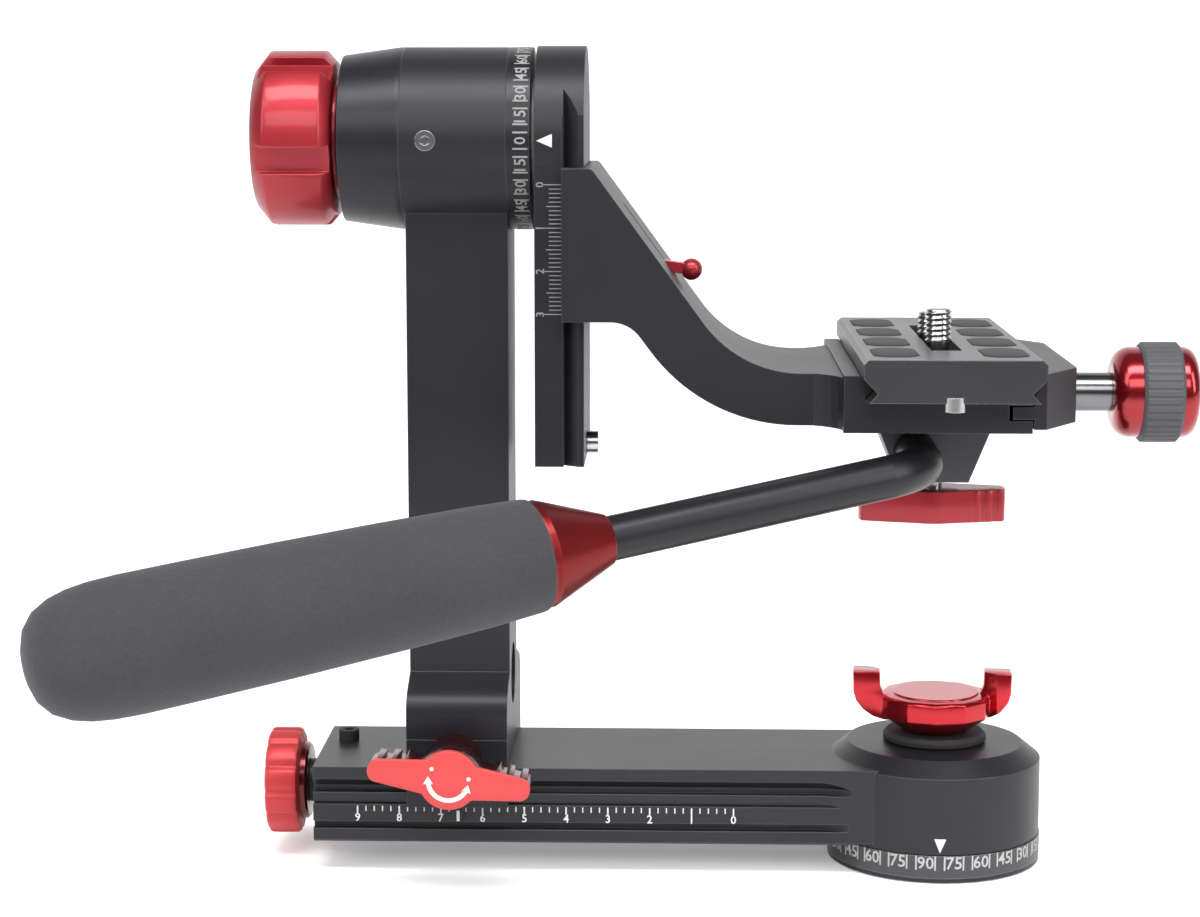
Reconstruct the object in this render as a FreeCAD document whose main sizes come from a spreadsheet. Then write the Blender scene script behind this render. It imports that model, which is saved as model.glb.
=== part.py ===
"""Gimbal tripod head: a panning base, a screw-driven arm, a tilting cradle and a pan handle.

Millimetres, +Z up. The origin is the mouth of the tripod thread, under the pan axis. The arm runs
along -X, the tilt axis runs along X and the handle comes forward, along -Y.
"""
import math
import os
import re

import FreeCAD, Part
import Sketcher
from FreeCAD import Placement, Rotation, Vector

SIZES = {
    # Fits.
    "fit": 0.03,
    "run": 0.05,
    "gap": 0.3,
    # How far a cut or a joined block reaches past what it meets.
    "over": 1,
    # Pan base: a flanged disc, its degree ring, the tripod bush and the spindle.
    "thread_r": 3.99,
    "insert_r": 6.0,
    "insert_len": 12,
    "ring_r": 25.8,
    "ring_wall": 3.7,
    "flange_h": 1.0,
    "base_top": 6.5,
    "base_screw_r": 1.5,
    "base_screw_head_r": 2.8,
    "base_screw_head_h": 1.9,
    "base_screw_sunk": 0.3,
    "base_screw_pitch": 10.2,
    "base_screw_len": 8.4,
    "spindle_flange_r": 13,
    "spindle_flange_h": 3.2,
    "spindle_r": 7.5,
    "spindle_top": 24,
    "pan_stud_r": 3,
    "thrust_h": 1.0,
    "thrust_r": 21.5,
    # Pan housing and arm.
    "pan_r": 25.6,
    "housing_gap": 0.2,
    "cone_z": 25,
    "housing_top": 28.5,
    "housing_top_r": 21.2,
    "bush_r": 10,
    "bush_h": 11,
    "arm_length": 150.1,
    "arm_root": 15,
    "arm_half": 20,
    "arm_bottom": 7.2,
    "arm_top": 25.6,
    "arm_edge": 0.5,
    "lip_h": 3.0,
    "vee_drop": 2.0,
    "vee_depth": 2.6,
    "vee_floor": 19.2,
    "band_in": 0.7,
    "line_top": 16.9,
    "line_low": 16.5,
    "line_in": 1.2,
    "foot_groove_top": 12.3,
    "foot_groove_low": 10.5,
    "foot_groove_in": 2.0,
    "groove_end": 29.5,
    "bore_end": 35.1,
    "cutter_r": 15,
    # Lead screw along the arm.
    "lead_z": 17,
    "lead_r": 4,
    "lead_bore_r": 6.2,
    "lead_bush_w": 5,
    "lead_tail": 5,
    "tail_play": 0.5,
    "slot_half": 1.8,
    "slot_end": 5,
    "nut_w": 14,
    "tongue_half_w": 5,
    "tongue_in": 4,
    "end_knob_r": 12.9,
    "end_knob_w": 9.9,
    "end_knob_flutes": 12,
    "end_flute_r": 1.5,
    "end_collar_r": 5.25,
    "end_collar_w": 3.1,
    "stop_stud_in": 5.6,
    "stop_stud_y": 6,
    "stop_stud_r": 2.5,
    "stop_stud_h": 2.8,
    "stop_shank_r": 1.5,
    "stop_shank_len": 4.6,
    # Pan lock knob.
    "friction_h": 0.6,
    "friction_r": 11.6,
    "pressure_r": 12.5,
    "pressure_h": 1.9,
    "pressure_edge": 0.9,
    "pan_knob_r": 13.6,
    "pan_knob_h": 9.3,
    "pan_knob_top_edge": 2.6,
    "pan_knob_low_edge": 4.0,
    "pan_disc_r": 10.6,
    "pan_disc_h": 0.4,
    "pan_nut_r": 5.5,
    "pan_nut_h": 5.8,
    "horn_reach": 20,
    "horn_t": 5.8,
    "horn_w": 7,
    "horn_top": 14.4,
    "horn_low": 2.1,
    "horn_bend": 9,
    "horn_ease": 1,
    "pan_knob_turn": -3,
    # Carriage: upright, foot and jaws.
    "carriage_reach": 115.15,
    "upright_w": 24,
    "upright_half": 13,
    "front_jaw_t": 3.67,
    "rear_jaw_t": 7.7,
    "foot_bulge_z": 37,
    "foot_top_z": 47.5,
    "foot_round": 6,
    "rear_jaw_low": 13,
    "jaw_gap": 0.3,
    "jaw_low": 16.9,
    "jaw_crown": 33.4,
    "tongue_gap": 0.5,
    "pointer_half": 1.2,
    "pointer_h": 4,
    "pointer_t": 1.2,
    "slide_stud_z": 28.4,
    "slide_stud_shift": 0.45,
    "slide_stud_r": 2.4,
    "slide_stud_in": 12,
    "slide_collar_r": 6.5,
    "slide_collar_w": 7.5,
    "slide_wing": 19,
    "slide_wing_end": 2.7,
    "slide_boss_r": 7,
    "slide_wing_t": 10.5,
    "foot_bolt_z": 44.5,
    "foot_bolt_head_r": 6.4,
    "foot_bolt_head_h": 2.2,
    "foot_bolt_r": 3,
    "foot_bolt_len": 16,
    "foot_recess_r": 7.7,
    "foot_recess_in": 3,
    "hex_r": 2.6,
    "hex_in": 1.6,
    # Tilt hub.
    "hub_z": 174.4,
    "hub_r": 21.5,
    "barrel_overhang": 0.75,
    "hub_cap_w": 14.5,
    "hub_cap_small_r": 19.6,
    "hub_cap_rim": 1.0,
    "hub_cap_wall": 4,
    "hub_cap_bore": 15,
    "hub_ring_w": 5.65,
    "hub_ring_bore": 13.8,
    "washer_r": 13.5,
    "hub_gap": 1.0,
    "bearing_r": 13,
    "bearing_w": 5,
    "bearing_race": 1.4,
    "bearing_lip": 2,
    "shaft_r": 8,
    "shaft_thread_r": 4,
    "shaft_in": 8,
    "set_screw_r": 2.35,
    "set_screw_len": 7,
    "set_screw_x": 6.5,
    "tilt_knob_r": 20.7,
    "tilt_knob_w": 19.8,
    "tilt_knob_gap": 0.9,
    "tilt_knob_edge_w": 3.6,
    "tilt_knob_edge_r": 4.3,
    "tilt_knob_lobes": 5,
    "tilt_knob_turn": -9,
    "lobe_slot_w": 5.4,
    "lobe_slot_in": 3.2,
    "tilt_nut_r": 8,
    "knob_face": 4,
    # Tilt rail.
    "disc_r": 21.8,
    "rail_t": 11.5,
    "rail_half": 21,
    "rail_drop": 75.9,
    "rail_lip": 1.2,
    "rail_vee": 3.6,
    "rail_vee_floor": 0.2,
    "rail_vee_in": 2.6,
    "rail_stop_up": 3.1,
    "rail_stop_r": 2.7,
    "rail_stop_h": 2.7,
    "rail_stop_shank": 6,
    "rail_stop_thread_r": 1.5,
    # Cradle: rail clamp, swan neck and plate clamp.
    "grip_reach": 4.9,
    "cradle_top": 6.1,
    "cradle_tall": 35.1,
    "cradle_half": 29,
    "knee_x": 2.0,
    "knee_round": 1.5,
    "neck_low_x": 36.1,
    "neck_drop": 52.8,
    "neck_t": 12,
    "neck_round": 28,
    "under_knee_x": 10.6,
    "under_knee_round": 8.3,
    "under_low_x": 28.2,
    "under_round": 42,
    "neck_reach": 60.2,
    "flare_angle": 57.3,
    "channel_gap": 0.2,
    "clamp_w": 41.4,
    "clamp_half": 42,
    "clamp_floor_t": 7.6,
    "plate_in": 22.95,
    # Brake lever.
    "lever_x": 7.4,
    "lever_drop": 28.4,
    "lever_hub_r": 3.6,
    "lever_t": 3,
    "lever_pin_r": 1.5,
    "lever_pin_in": 10,
    "lever_stem_half": 1.3,
    "lever_reach": 17.8,
    "lever_ball_r": 2.6,
    "lever_slot_half": 1.8,
    "lever_slot_top": 13.2,
    "lever_slot_low": 4.5,
    "lever_dip": 8.5,
    "plunger_r": 3,
    # Quick-release clamp.
    "plate_half_w": 20.2,
    "plate_vee_half": 17,
    "plate_foot_half": 19,
    "plate_h": 9.7,
    "plate_over": 10,
    "plate_edge": 1.1,
    "plate_seat": 0.3,
    "plate_vee_z": 2.1,
    "grip_clear": 0.3,
    "fixed_jaw_h": 5.4,
    "jaw_clear": 0.3,
    "jaw_top": 5.9,
    "jaw_w": 11.3,
    "jaw_chamfer_x": 8.5,
    "jaw_chamfer_y": 14,
    "jaw_foot": 0.9,
    "guide_len": 4.8,
    "guide_low": 3.2,
    "guide_high": 6.1,
    "guide_slot_end": 0.8,
    "guide_pin_r": 1.5,
    "guide_pin_y": 30,
    "guide_pin_len": 20,
    "clamp_screw_rise": 4.6,
    "clamp_screw_r": 2.2,
    "clamp_screw_in": 22,
    "clamp_shaft_r": 4.65,
    "clamp_shaft_w": 12.3,
    "core_w": 20,
    "core_r": 10.9,
    "core_belly": 4.5,
    "core_dome": 3.2,
    "grip_start": 6.4,
    "grip_w": 9.7,
    "grip_r": 12,
    "grip_edge": 0.8,
    "grip_ribs": 40,
    "grip_rib_r": 0.45,
    # Plate furniture.
    "pad_x": 12.3,
    "pad_half_x": 5.2,
    "pad_half_y": 9.6,
    "pad_pitch": 24,
    "pad_corner": 2.6,
    "pad_in": 0.8,
    "pad_proud": 0.2,
    "plate_slot_half": 3.5,
    "plate_slot_len": 31,
    "under_slot_half": 6.6,
    "under_slot_h": 6.2,
    "camera_r": 3.15,
    "camera_shank_r": 2.6,
    "camera_thread_up": 0.3,
    "front_proud": 7.8,
    "rear_proud": 5.3,
    "camera_head_r": 6,
    "camera_head_h": 3.6,
    "camera_y": 10,
    "keeper_h": 1.2,
    "screw_slot_half": 0.7,
    "stop_edge": 1.6,
    "stop_sunk": 1.4,
    "stop_r": 2.5,
    "stop_h": 3.3,
    "stop_in": 5,
    "stop_thread_r": 1.3,
    # Handle.
    "block_half": 14.3,
    "block_shift": 0.8,
    "block_foot_half": 8.1,
    "block_h": 15.3,
    "block_depth": 15,
    "block_screw_x": 6.6,
    "block_screw_y": 9,
    "block_screw_r": 2,
    "block_screw_head_r": 3.4,
    "block_screw_head_h": 3.2,
    "block_screw_len": 13,
    "stub_x": 5.4,
    "stub_drop": 8.1,
    "rod_r": 4.9,
    "stub_in": 10,
    "elbow_out": 42,
    "elbow_r": 16,
    "rod_run": 150,
    "handle_bend_angle": 65.3,
    "handle_droop_angle": 8.5,
    "ferrule_start": 79,
    "ferrule_len": 16.5,
    "ferrule_small_r": 5.6,
    "ferrule_r": 11.6,
    "ferrule_rim": 1.5,
    "foam_len": 109.4,
    "foam_r": 12.3,
    "foam_end_r": 14.3,
    "foam_nose": 1.6,
    "foam_dome": 12,
    "core_tube_r": 7,
    "core_tube_len": 92,
    "brake_pad_t": 0.9,
    "wing_stud_r": 2.5,
    "wing_gap": 3.4,
    "handle_wing": 17.6,
    "handle_wing_end": 4.2,
    "handle_boss_r": 8.6,
    "handle_wing_t": 7.8,
    "wing_shift": 0.1,
    # Ribs on both wing knobs.
    "rib_r": 0.8,
    "rib_pitch": 2.3,
    "rib_first": 9.8,
    "wing_edge": 0.8,
    "wing_corner": 1,
    "wing_root": 0.6,
    "wing_swell": 0.8,
    "slide_wing_tilt": 7.5,
}

# Places worked out from the sizes. X is counted from the pan axis, Z from the tripod's face.
PLACES = {
    "ring_bore": "ring_r - ring_wall",
    "housing_z": "base_top + housing_gap",
    "thrust_top": "base_top + thrust_h",
    "flange_top": "base_top + spindle_flange_h",
    "bush_z": "flange_top + gap",
    "bush_top": "bush_z + bush_h",
    "pressure_z": "housing_top + friction_h",
    "pressure_top": "pressure_z + pressure_h",
    "pan_knob_z": "pressure_top + gap",
    "pan_stud_top": "pan_knob_z + pan_nut_h - fit",
    "arm_x": "-arm_length",
    "stop_stud_x": "arm_length - stop_stud_in",
    "lip_low": "arm_top - lip_h",
    "upright_x": "-carriage_reach",
    "half_w": "upright_w / 2",
    "upright_left": "upright_x - half_w",
    "upright_right": "upright_x + half_w",
    "tongue_out": "arm_half + tongue_in",
    "front_plate": "arm_half + jaw_gap + fit",
    "foot_front": "front_plate + front_jaw_t",
    "foot_back": "arm_half + jaw_gap + rear_jaw_t",
    "slide_collar_out": "foot_front + slide_collar_w",
    "slide_knob_y": "slide_collar_out + fit",
    "slide_stud_x": "upright_x - slide_stud_shift",
    "ring_end": "upright_right + hub_ring_w",
    "disc_x": "ring_end + hub_gap",
    "rail_x": "disc_x + rail_t",
    "cap_end": "upright_left - barrel_overhang",
    "cap_x": "cap_end - hub_cap_w",
    "tilt_knob_end": "cap_x - tilt_knob_gap",
    "tilt_knob_x": "tilt_knob_end - tilt_knob_w",
    "cradle_low": "cradle_top + cradle_tall",
    "flare_r": "(clamp_half - cradle_half) / sin(flare_angle * 1 deg)",
    "neck_under": "neck_drop + neck_t",
    "clamp_end": "neck_reach + clamp_w",
    "floor_z": "clamp_floor_t - neck_under",
    "plate_x": "rail_x + neck_reach + plate_in",
    "plate_half_len": "clamp_half + plate_over",
    "stop_y": "plate_half_len - stop_edge",
    "clamp_z": "hub_z - neck_under",
    "plate_z": "clamp_z + clamp_floor_t + plate_seat",
    "jaw_x": "rail_x + clamp_end + jaw_clear",
    "jaw_end": "jaw_x + jaw_w",
    "screw_z": "clamp_z + clamp_screw_rise",
    "core_x": "jaw_end + clamp_shaft_w",
    "stub_z": "clamp_z - stub_drop",
    "stub_at": "plate_x - stub_x",
    "foam_start": "ferrule_start + ferrule_len",
    "foam_end": "foam_start + foam_len",
    "block_z": "clamp_z - block_h",
    "wing_z": "block_z - wing_gap",
    "wing_x": "plate_x + wing_shift",
}

STRAIGHT = Rotation()
ALONG_X = Rotation(Vector(0, 1, 0), 90)
TO_FRONT = Rotation(Vector(1, 0, 0), 90)
DOWN = Rotation(Vector(1, 0, 0), 180)
FLARE_STEPS = 6
SAME = 0.001
PARALLEL = 0.999
WORD = re.compile(r"[a-z][a-z_]*")

doc = FreeCAD.newDocument("gimbal_tripod_head")
sheet = doc.addObject("Spreadsheet::Sheet", "Sizes")
for row, (alias, size) in enumerate(SIZES.items(), start=1):
    sheet.set(f"A{row}", alias)
    sheet.set(f"B{row}", str(size))
    sheet.setAlias(f"B{row}", alias)
doc.recompute()

parts = []


def full(text):
    """The expression with each size's name pointed at the sheet and each place spelt out."""
    def spell(match):
        name = match.group()
        if name in SIZES:
            return "Sizes." + name
        if name in PLACES:
            return "(" + full(PLACES[name]) + ")"
        return name
    return WORD.sub(spell, text)


def value(text):
    """The expression's present value."""
    return float(sheet.evalExpression(full(text)))


def bind(thing, prop, text):
    """Ties a property to an expression of the sizes."""
    thing.setExpression(prop, full(text))


def new_body(label):
    """An empty body that becomes one node."""
    body = doc.addObject("PartDesign::Body", label)
    body.Label = label
    body.AllowCompound = True
    parts.append(body)
    return body


def place(body, x="0", y="0", z="0", way=STRAIGHT):
    """Puts the body's own origin at a bound place and turns it."""
    body.Placement = Placement(Vector(), way)
    for axis, text in (("x", x), ("y", y), ("z", z)):
        bind(body, f"Placement.Base.{axis}", text)
    return body


def pin(sketch, line, end, x, y):
    """Holds one point of the sketch at two bound distances from its origin."""
    for kind, text in (("DistanceX", x), ("DistanceY", y)):
        number = sketch.addConstraint(Sketcher.Constraint(kind, -1, 1, line, end, value(text)))
        sketch.setExpression(f"Constraints[{number}]", full(text))


def draw_outline(sketch, corners):
    """A closed outline of straight lines through the corners."""
    first = sketch.GeometryCount
    count = len(corners)
    spots = [Vector(value(x), value(y), 0) for x, y in corners]
    for k in range(count):
        sketch.addGeometry(Part.LineSegment(spots[k], spots[(k + 1) % count]))
    for k in range(count):
        follower = first + (k + 1) % count
        sketch.addConstraint(Sketcher.Constraint("Coincident", first + k, 2, follower, 1))
    for k, (x, y) in enumerate(corners):
        pin(sketch, first + k, 1, x, y)


def draw_circle(sketch, x, y, radius):
    """A circle with a bound centre and radius."""
    centre = Vector(value(x), value(y), 0)
    line = sketch.addGeometry(Part.Circle(centre, Vector(0, 0, 1), value(radius)))
    pin(sketch, line, 3, x, y)
    number = sketch.addConstraint(Sketcher.Constraint("Radius", line, value(radius)))
    sketch.setExpression(f"Constraints[{number}]", full(radius))


def sketch_on(body, plane, shapes, lift="0"):
    """A sketch of outlines (lists of corners) and circles (x, y, radius) on an origin plane."""
    sketch = body.newObject("Sketcher::SketchObject", body.Name + "_sketch")
    face = next(item for item in body.Origin.OriginFeatures if item.Role == plane + "_Plane")
    sketch.AttachmentSupport = [(face, "")]
    sketch.MapMode = "FlatFace"
    bind(sketch, "AttachmentOffset.Base.z", lift)
    for shape in shapes:
        if isinstance(shape, tuple):
            draw_circle(sketch, *shape)
        else:
            draw_outline(sketch, shape)
    return sketch


def pad(body, plane, shapes, low, high):
    """Material between two heights along the plane's normal (+X, -Y or +Z)."""
    sketch = sketch_on(body, plane, shapes, low)
    feature = body.newObject("PartDesign::Pad", body.Name + "_pad")
    feature.Profile = sketch
    bind(feature, "Length", f"({high}) - ({low})")
    body.Tip = feature
    return feature


def pocket(body, plane, shapes, low, high):
    """Material taken away between two heights along the plane's normal."""
    sketch = sketch_on(body, plane, shapes, low)
    feature = body.newObject("PartDesign::Pocket", body.Name + "_pocket")
    feature.Profile = sketch
    feature.Reversed = True
    bind(feature, "Length", f"({high}) - ({low})")
    body.Tip = feature
    return feature


def spin(body, shapes, kind="Revolution"):
    """Half outlines (radius, height) swept round the body's own Z axis."""
    sketch = sketch_on(body, "XZ", shapes)
    feature = body.newObject("PartDesign::" + kind, body.Name + "_turn")
    feature.Profile = sketch
    feature.ReferenceAxis = (sketch, ["V_Axis"])
    feature.Angle = 360
    body.Tip = feature
    return feature


def turned(label, *shapes):
    """A turned node."""
    body = new_body(label)
    spin(body, shapes)
    return body


def repeat(body, feature, count):
    """Copies of a feature spread evenly round the body's own Z axis."""
    axis = next(item for item in body.Origin.OriginFeatures if item.Role == "Z_Axis")
    doc.recompute()
    pattern = body.newObject("PartDesign::PolarPattern", body.Name + "_pattern")
    pattern.Originals = [feature]
    pattern.Axis = (axis, [""])
    pattern.Angle = 360
    bind(pattern, "Occurrences", count)
    body.Tip = pattern


def soften(body, kind, size, chosen):
    """A fillet or chamfer on the edges that the test picks."""
    doc.recompute()
    base = body.Tip
    names = [f"Edge{k}" for k, edge in enumerate(base.Shape.Edges, start=1) if chosen(edge)]
    feature = body.newObject("PartDesign::" + kind, body.Name + "_" + kind.lower())
    feature.Base = (base, names)
    bind(feature, "Radius" if kind == "Fillet" else "Size", size)
    body.Tip = feature


def ring(inner, outer, low, high):
    """The half outline of a plain ring."""
    return [(inner, low), (outer, low), (outer, high), (inner, high)]


def box(x_low, x_high, y_low, y_high):
    """The outline of a rectangle."""
    return [(x_low, y_low), (x_high, y_low), (x_high, y_high), (x_low, y_high)]


def regular(count, radius):
    """The corners of a regular outline round the origin, with a flat side towards +X."""
    step = 360 / count
    turns = [step * (k + 0.5) for k in range(count)]
    return [(f"{radius} * cos({turn} deg)", f"{radius} * sin({turn} deg)") for turn in turns]


def runs_along(axis, *spot):
    """Picks straight edges along an axis whose other two coordinates lie at a bound spot."""
    others = [name for name in "xyz" if name != axis]
    goal = [abs(value(text)) for text in spot]

    def chosen(edge):
        if not isinstance(edge.Curve, Part.Line):
            return False
        if abs(getattr(edge.Curve.Direction, axis)) < PARALLEL:
            return False
        middle = edge.CenterOfMass
        return all(abs(abs(getattr(middle, name)) - size) < SAME for name, size in zip(others, goal))
    return chosen


def rim_at(radius, height):
    """Picks the full circle of a bound radius at a bound height round the body's own Z axis."""
    size = value(radius)
    level = value(height)

    def chosen(edge):
        if not isinstance(edge.Curve, Part.Circle):
            return False
        return abs(edge.Curve.Radius - size) < SAME and abs(edge.Curve.Center.z - level) < SAME
    return chosen


def at_height(*heights):
    """Picks edges that lie flat at one of the bound heights."""
    levels = [value(text) for text in heights]

    def chosen(edge):
        box_of = edge.BoundBox
        flat = box_of.ZMax - box_of.ZMin < SAME
        return flat and any(abs(box_of.ZMin - level) < SAME for level in levels)
    return chosen


def base_group():
    """The fixed base that screws onto a tripod, up to the plate under the pan knob."""
    screw_spots = (("base_screw_pitch", "0"), ("0", "base_screw_pitch"),
                   ("-base_screw_pitch", "0"), ("0", "-base_screw_pitch"))
    disc = turned("base_disc", [
        ("insert_r + fit", "0"), ("ring_r", "0"), ("ring_r", "flange_h"),
        ("ring_bore", "flange_h"), ("ring_bore", "base_top"), ("insert_r + fit", "base_top")])
    pocket(disc, "XY", [(x, y, "base_screw_r + fit") for x, y in screw_spots], "0", "base_top")
    pocket(disc, "XY", [(x, y, "base_screw_head_r + fit") for x, y in screw_spots],
           "0", "base_screw_sunk + base_screw_head_h")

    turned("pan_degree_ring", ring("ring_bore + fit", "ring_r", "flange_h", "base_top"))
    turned("tripod_thread_insert", ring("thread_r", "insert_r", "0", "insert_len"))

    spindle = turned("pan_spindle", [
        ("insert_r + fit", "base_top"), ("spindle_flange_r", "base_top"),
        ("spindle_flange_r", "flange_top"), ("spindle_r", "flange_top"),
        ("spindle_r", "spindle_top"), ("pan_stud_r", "spindle_top"),
        ("pan_stud_r", "pan_stud_top"), ("0", "pan_stud_top"),
        ("0", "insert_len + gap"), ("insert_r + fit", "insert_len + gap")])
    pocket(spindle, "XY", [(x, y, "base_screw_r + fit") for x, y in screw_spots],
           "base_top", "base_screw_sunk + base_screw_len + gap")

    screws = new_body("base_screws")
    head_top = "base_screw_sunk + base_screw_head_h"
    pad(screws, "XY", [(x, y, "base_screw_head_r") for x, y in screw_spots],
        "base_screw_sunk", head_top)
    pad(screws, "XY", [(x, y, "base_screw_r") for x, y in screw_spots],
        head_top, "base_screw_sunk + base_screw_len")

    turned("pan_thrust_washer", ring("spindle_flange_r + gap", "thrust_r", "base_top", "thrust_top"))
    turned("pan_pressure_plate", [
        ("pan_stud_r + fit", "spindle_top + fit"), ("spindle_r", "spindle_top + fit"),
        ("spindle_r", "pressure_z"), ("pressure_r", "pressure_z"),
        ("pressure_r", "pressure_top - pressure_edge"),
        ("pressure_r - pressure_edge", "pressure_top"), ("pan_stud_r + fit", "pressure_top")])


def side_grooves(side):
    """The grooves in one side of the arm (side is '' or '-'), each as its floor's Y and outline."""
    beyond = "arm_half + over"
    vee_floor_y = "arm_half - vee_depth"
    upper = [(beyond, "lip_low"), ("arm_half", "lip_low"), (vee_floor_y, "lip_low - vee_drop"),
             (vee_floor_y, "vee_floor"), ("arm_half - band_in", "vee_floor"),
             ("arm_half - band_in", "line_top"), ("arm_half - line_in", "line_top"),
             ("arm_half - line_in", "line_low"), (beyond, "line_low")]
    lower_floor_y = "arm_half - foot_groove_in"
    lower = box(lower_floor_y, beyond, "foot_groove_low", "foot_groove_top")
    return [(f"{side}({floor_y})", [(f"{side}({y})", z) for y, z in outline])
            for floor_y, outline in ((vee_floor_y, upper), (lower_floor_y, lower))]


def arm_group():
    """The arm with the pan housing at one end and the lead screw's bore along it."""
    arm = turned("pan_arm", [
        ("pan_r", "housing_z"), ("pan_r", "cone_z"), ("housing_top_r", "housing_top"),
        ("spindle_r + gap", "housing_top"), ("spindle_r + gap", "bush_top + fit"),
        ("bush_r + fit", "bush_top + fit"), ("bush_r + fit", "flange_top + gap"),
        ("spindle_flange_r + gap", "flange_top + gap"), ("spindle_flange_r + gap", "housing_z")])
    pad(arm, "YZ", [box("-arm_half", "arm_half", "arm_bottom", "arm_top")], "arm_x", "-arm_root")
    soften(arm, "Chamfer", "arm_edge", runs_along("x", "arm_half", "arm_bottom"))
    pocket(arm, "XY", [("0", "0", "thrust_r + gap")], "housing_z - over", "thrust_top + run")
    for side in ("", "-"):
        grooves = side_grooves(side)
        pocket(arm, "YZ", [outline for floor_y, outline in grooves], "arm_x - over", "-groove_end")
        for floor_y, outline in grooves:
            run_out = sketch_on(arm, "YZ", [outline], "-groove_end")
            turn_y = f"{floor_y} {side or '+'} cutter_r"
            spot = value(turn_y)
            line = run_out.addGeometry(
                Part.LineSegment(Vector(spot, 0, 0), Vector(spot, 1, 0)), True)
            pin(run_out, line, 1, turn_y, "0")
            pin(run_out, line, 2, turn_y, "over")
            groove = arm.newObject("PartDesign::Groove", "run_out")
            groove.Profile = run_out
            groove.ReferenceAxis = (run_out, ["Axis0"])
            groove.Angle = 360
            arm.Tip = groove
    pocket(arm, "YZ", [("0", "lead_z", "lead_bore_r")], "arm_x - over", "-bore_end")
    pocket(arm, "YZ", [("0", "lead_z", "lead_r + run")], "-bore_end - over", "lead_tail - bore_end")
    pocket(arm, "YZ", [box("slot_end", "arm_half + over", "lead_z - slot_half", "lead_z + slot_half")],
           "arm_x + slot_end", "-bore_end")
    pocket(arm, "XY", [("-stop_stud_x", "stop_stud_y", "stop_shank_r + fit")],
           "arm_top - stop_shank_len - gap", "arm_top + over")

    turned("pan_bush", ring("spindle_r + run", "bush_r", "bush_z", "bush_top"))
    turned("pan_friction_washer", ring("spindle_r + gap", "friction_r", "housing_top", "pressure_z"))
    place(turned("lead_screw_bush", ring("lead_r + run", "lead_bore_r - fit", "0", "lead_bush_w")),
          "arm_x", "0", "lead_z", ALONG_X)
    stud = turned("arm_stop_stud", [
        ("0", "-stop_shank_len"), ("stop_shank_r", "-stop_shank_len"), ("stop_shank_r", "0"),
        ("stop_stud_r", "0"), ("stop_stud_r", "stop_stud_h"), ("0", "stop_stud_h")])
    pocket(stud, "XY", [regular(6, "stop_stud_r / 2")], "stop_stud_h / 2", "stop_stud_h + over")
    place(stud, "-stop_stud_x", "stop_stud_y", "arm_top")


def pan_knob_group():
    """The horned knob that clamps the pan axis, with its threaded bush."""
    knob = new_body("pan_lock_knob")
    rim = "pan_knob_h - pan_disc_h"
    pad(knob, "XY", [regular(8, "pan_knob_r")], "0", rim)
    soften(knob, "Chamfer", "pan_knob_top_edge", at_height(rim))
    soften(knob, "Chamfer", "pan_knob_low_edge", at_height("0"))
    pad(knob, "XY", [("0", "0", "pan_disc_r")], f"{rim} - pan_disc_h", "pan_knob_h")
    root = "pan_knob_r - pan_knob_low_edge"
    inner = "horn_reach - horn_t"
    horn = [(root, "horn_low"), (inner, "horn_low + horn_ease / 2"),
            ("horn_reach - horn_t / 4", "horn_low + horn_t / 2"), ("horn_reach", "horn_bend"),
            ("horn_reach", "horn_top"), (inner, "horn_top"), (inner, "horn_bend + horn_ease"),
            (f"{inner} - horn_ease", rim), (root, f"{rim} - horn_ease / 2")]
    horns = [horn, [(f"-({x})", z) for x, z in horn]]
    pad(knob, "XZ", horns, "-horn_w / 2", "horn_w / 2")
    pocket(knob, "XY", [("0", "0", "pan_nut_r + fit")], "-over", "pan_nut_h + fit")
    place(knob, "0", "0", "pan_knob_z", Rotation(Vector(0, 0, 1), value("pan_knob_turn")))
    place(turned("pan_knob_nut", ring("pan_stud_r + fit", "pan_nut_r", "0", "pan_nut_h")),
          "0", "0", "pan_knob_z")


def end_knob_group():
    """The knob on the arm's end, its collar and the lead screw that it turns."""
    knob = turned("end_knob", ring("lead_r + fit", "end_knob_r", "-end_knob_w", "0"))
    soften(knob, "Chamfer", "wing_edge", at_height("-end_knob_w", "0"))
    flute = pocket(knob, "XY", [("end_knob_r + end_flute_r / 3", "0", "end_flute_r")],
                   "-end_knob_w - over", "over")
    repeat(knob, flute, "end_knob_flutes")
    knob_face = "arm_x - end_collar_w"
    place(knob, knob_face, "0", "lead_z", ALONG_X)
    place(turned("end_collar", ring("lead_r + fit", "end_collar_r", "0", "end_collar_w - run")),
          knob_face, "0", "lead_z", ALONG_X)
    screw = turned("lead_screw", [
        ("0", "0"), ("lead_r", "0"),
        ("lead_r", "arm_length + end_collar_w + end_knob_w + lead_tail - bore_end - tail_play"),
        ("0", "arm_length + end_collar_w + end_knob_w + lead_tail - bore_end - tail_play")])
    pocket(screw, "XY", [regular(6, "hex_r")], "-over", "hex_in")
    place(screw, "arm_x - end_collar_w - end_knob_w", "0", "lead_z", ALONG_X)


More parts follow.
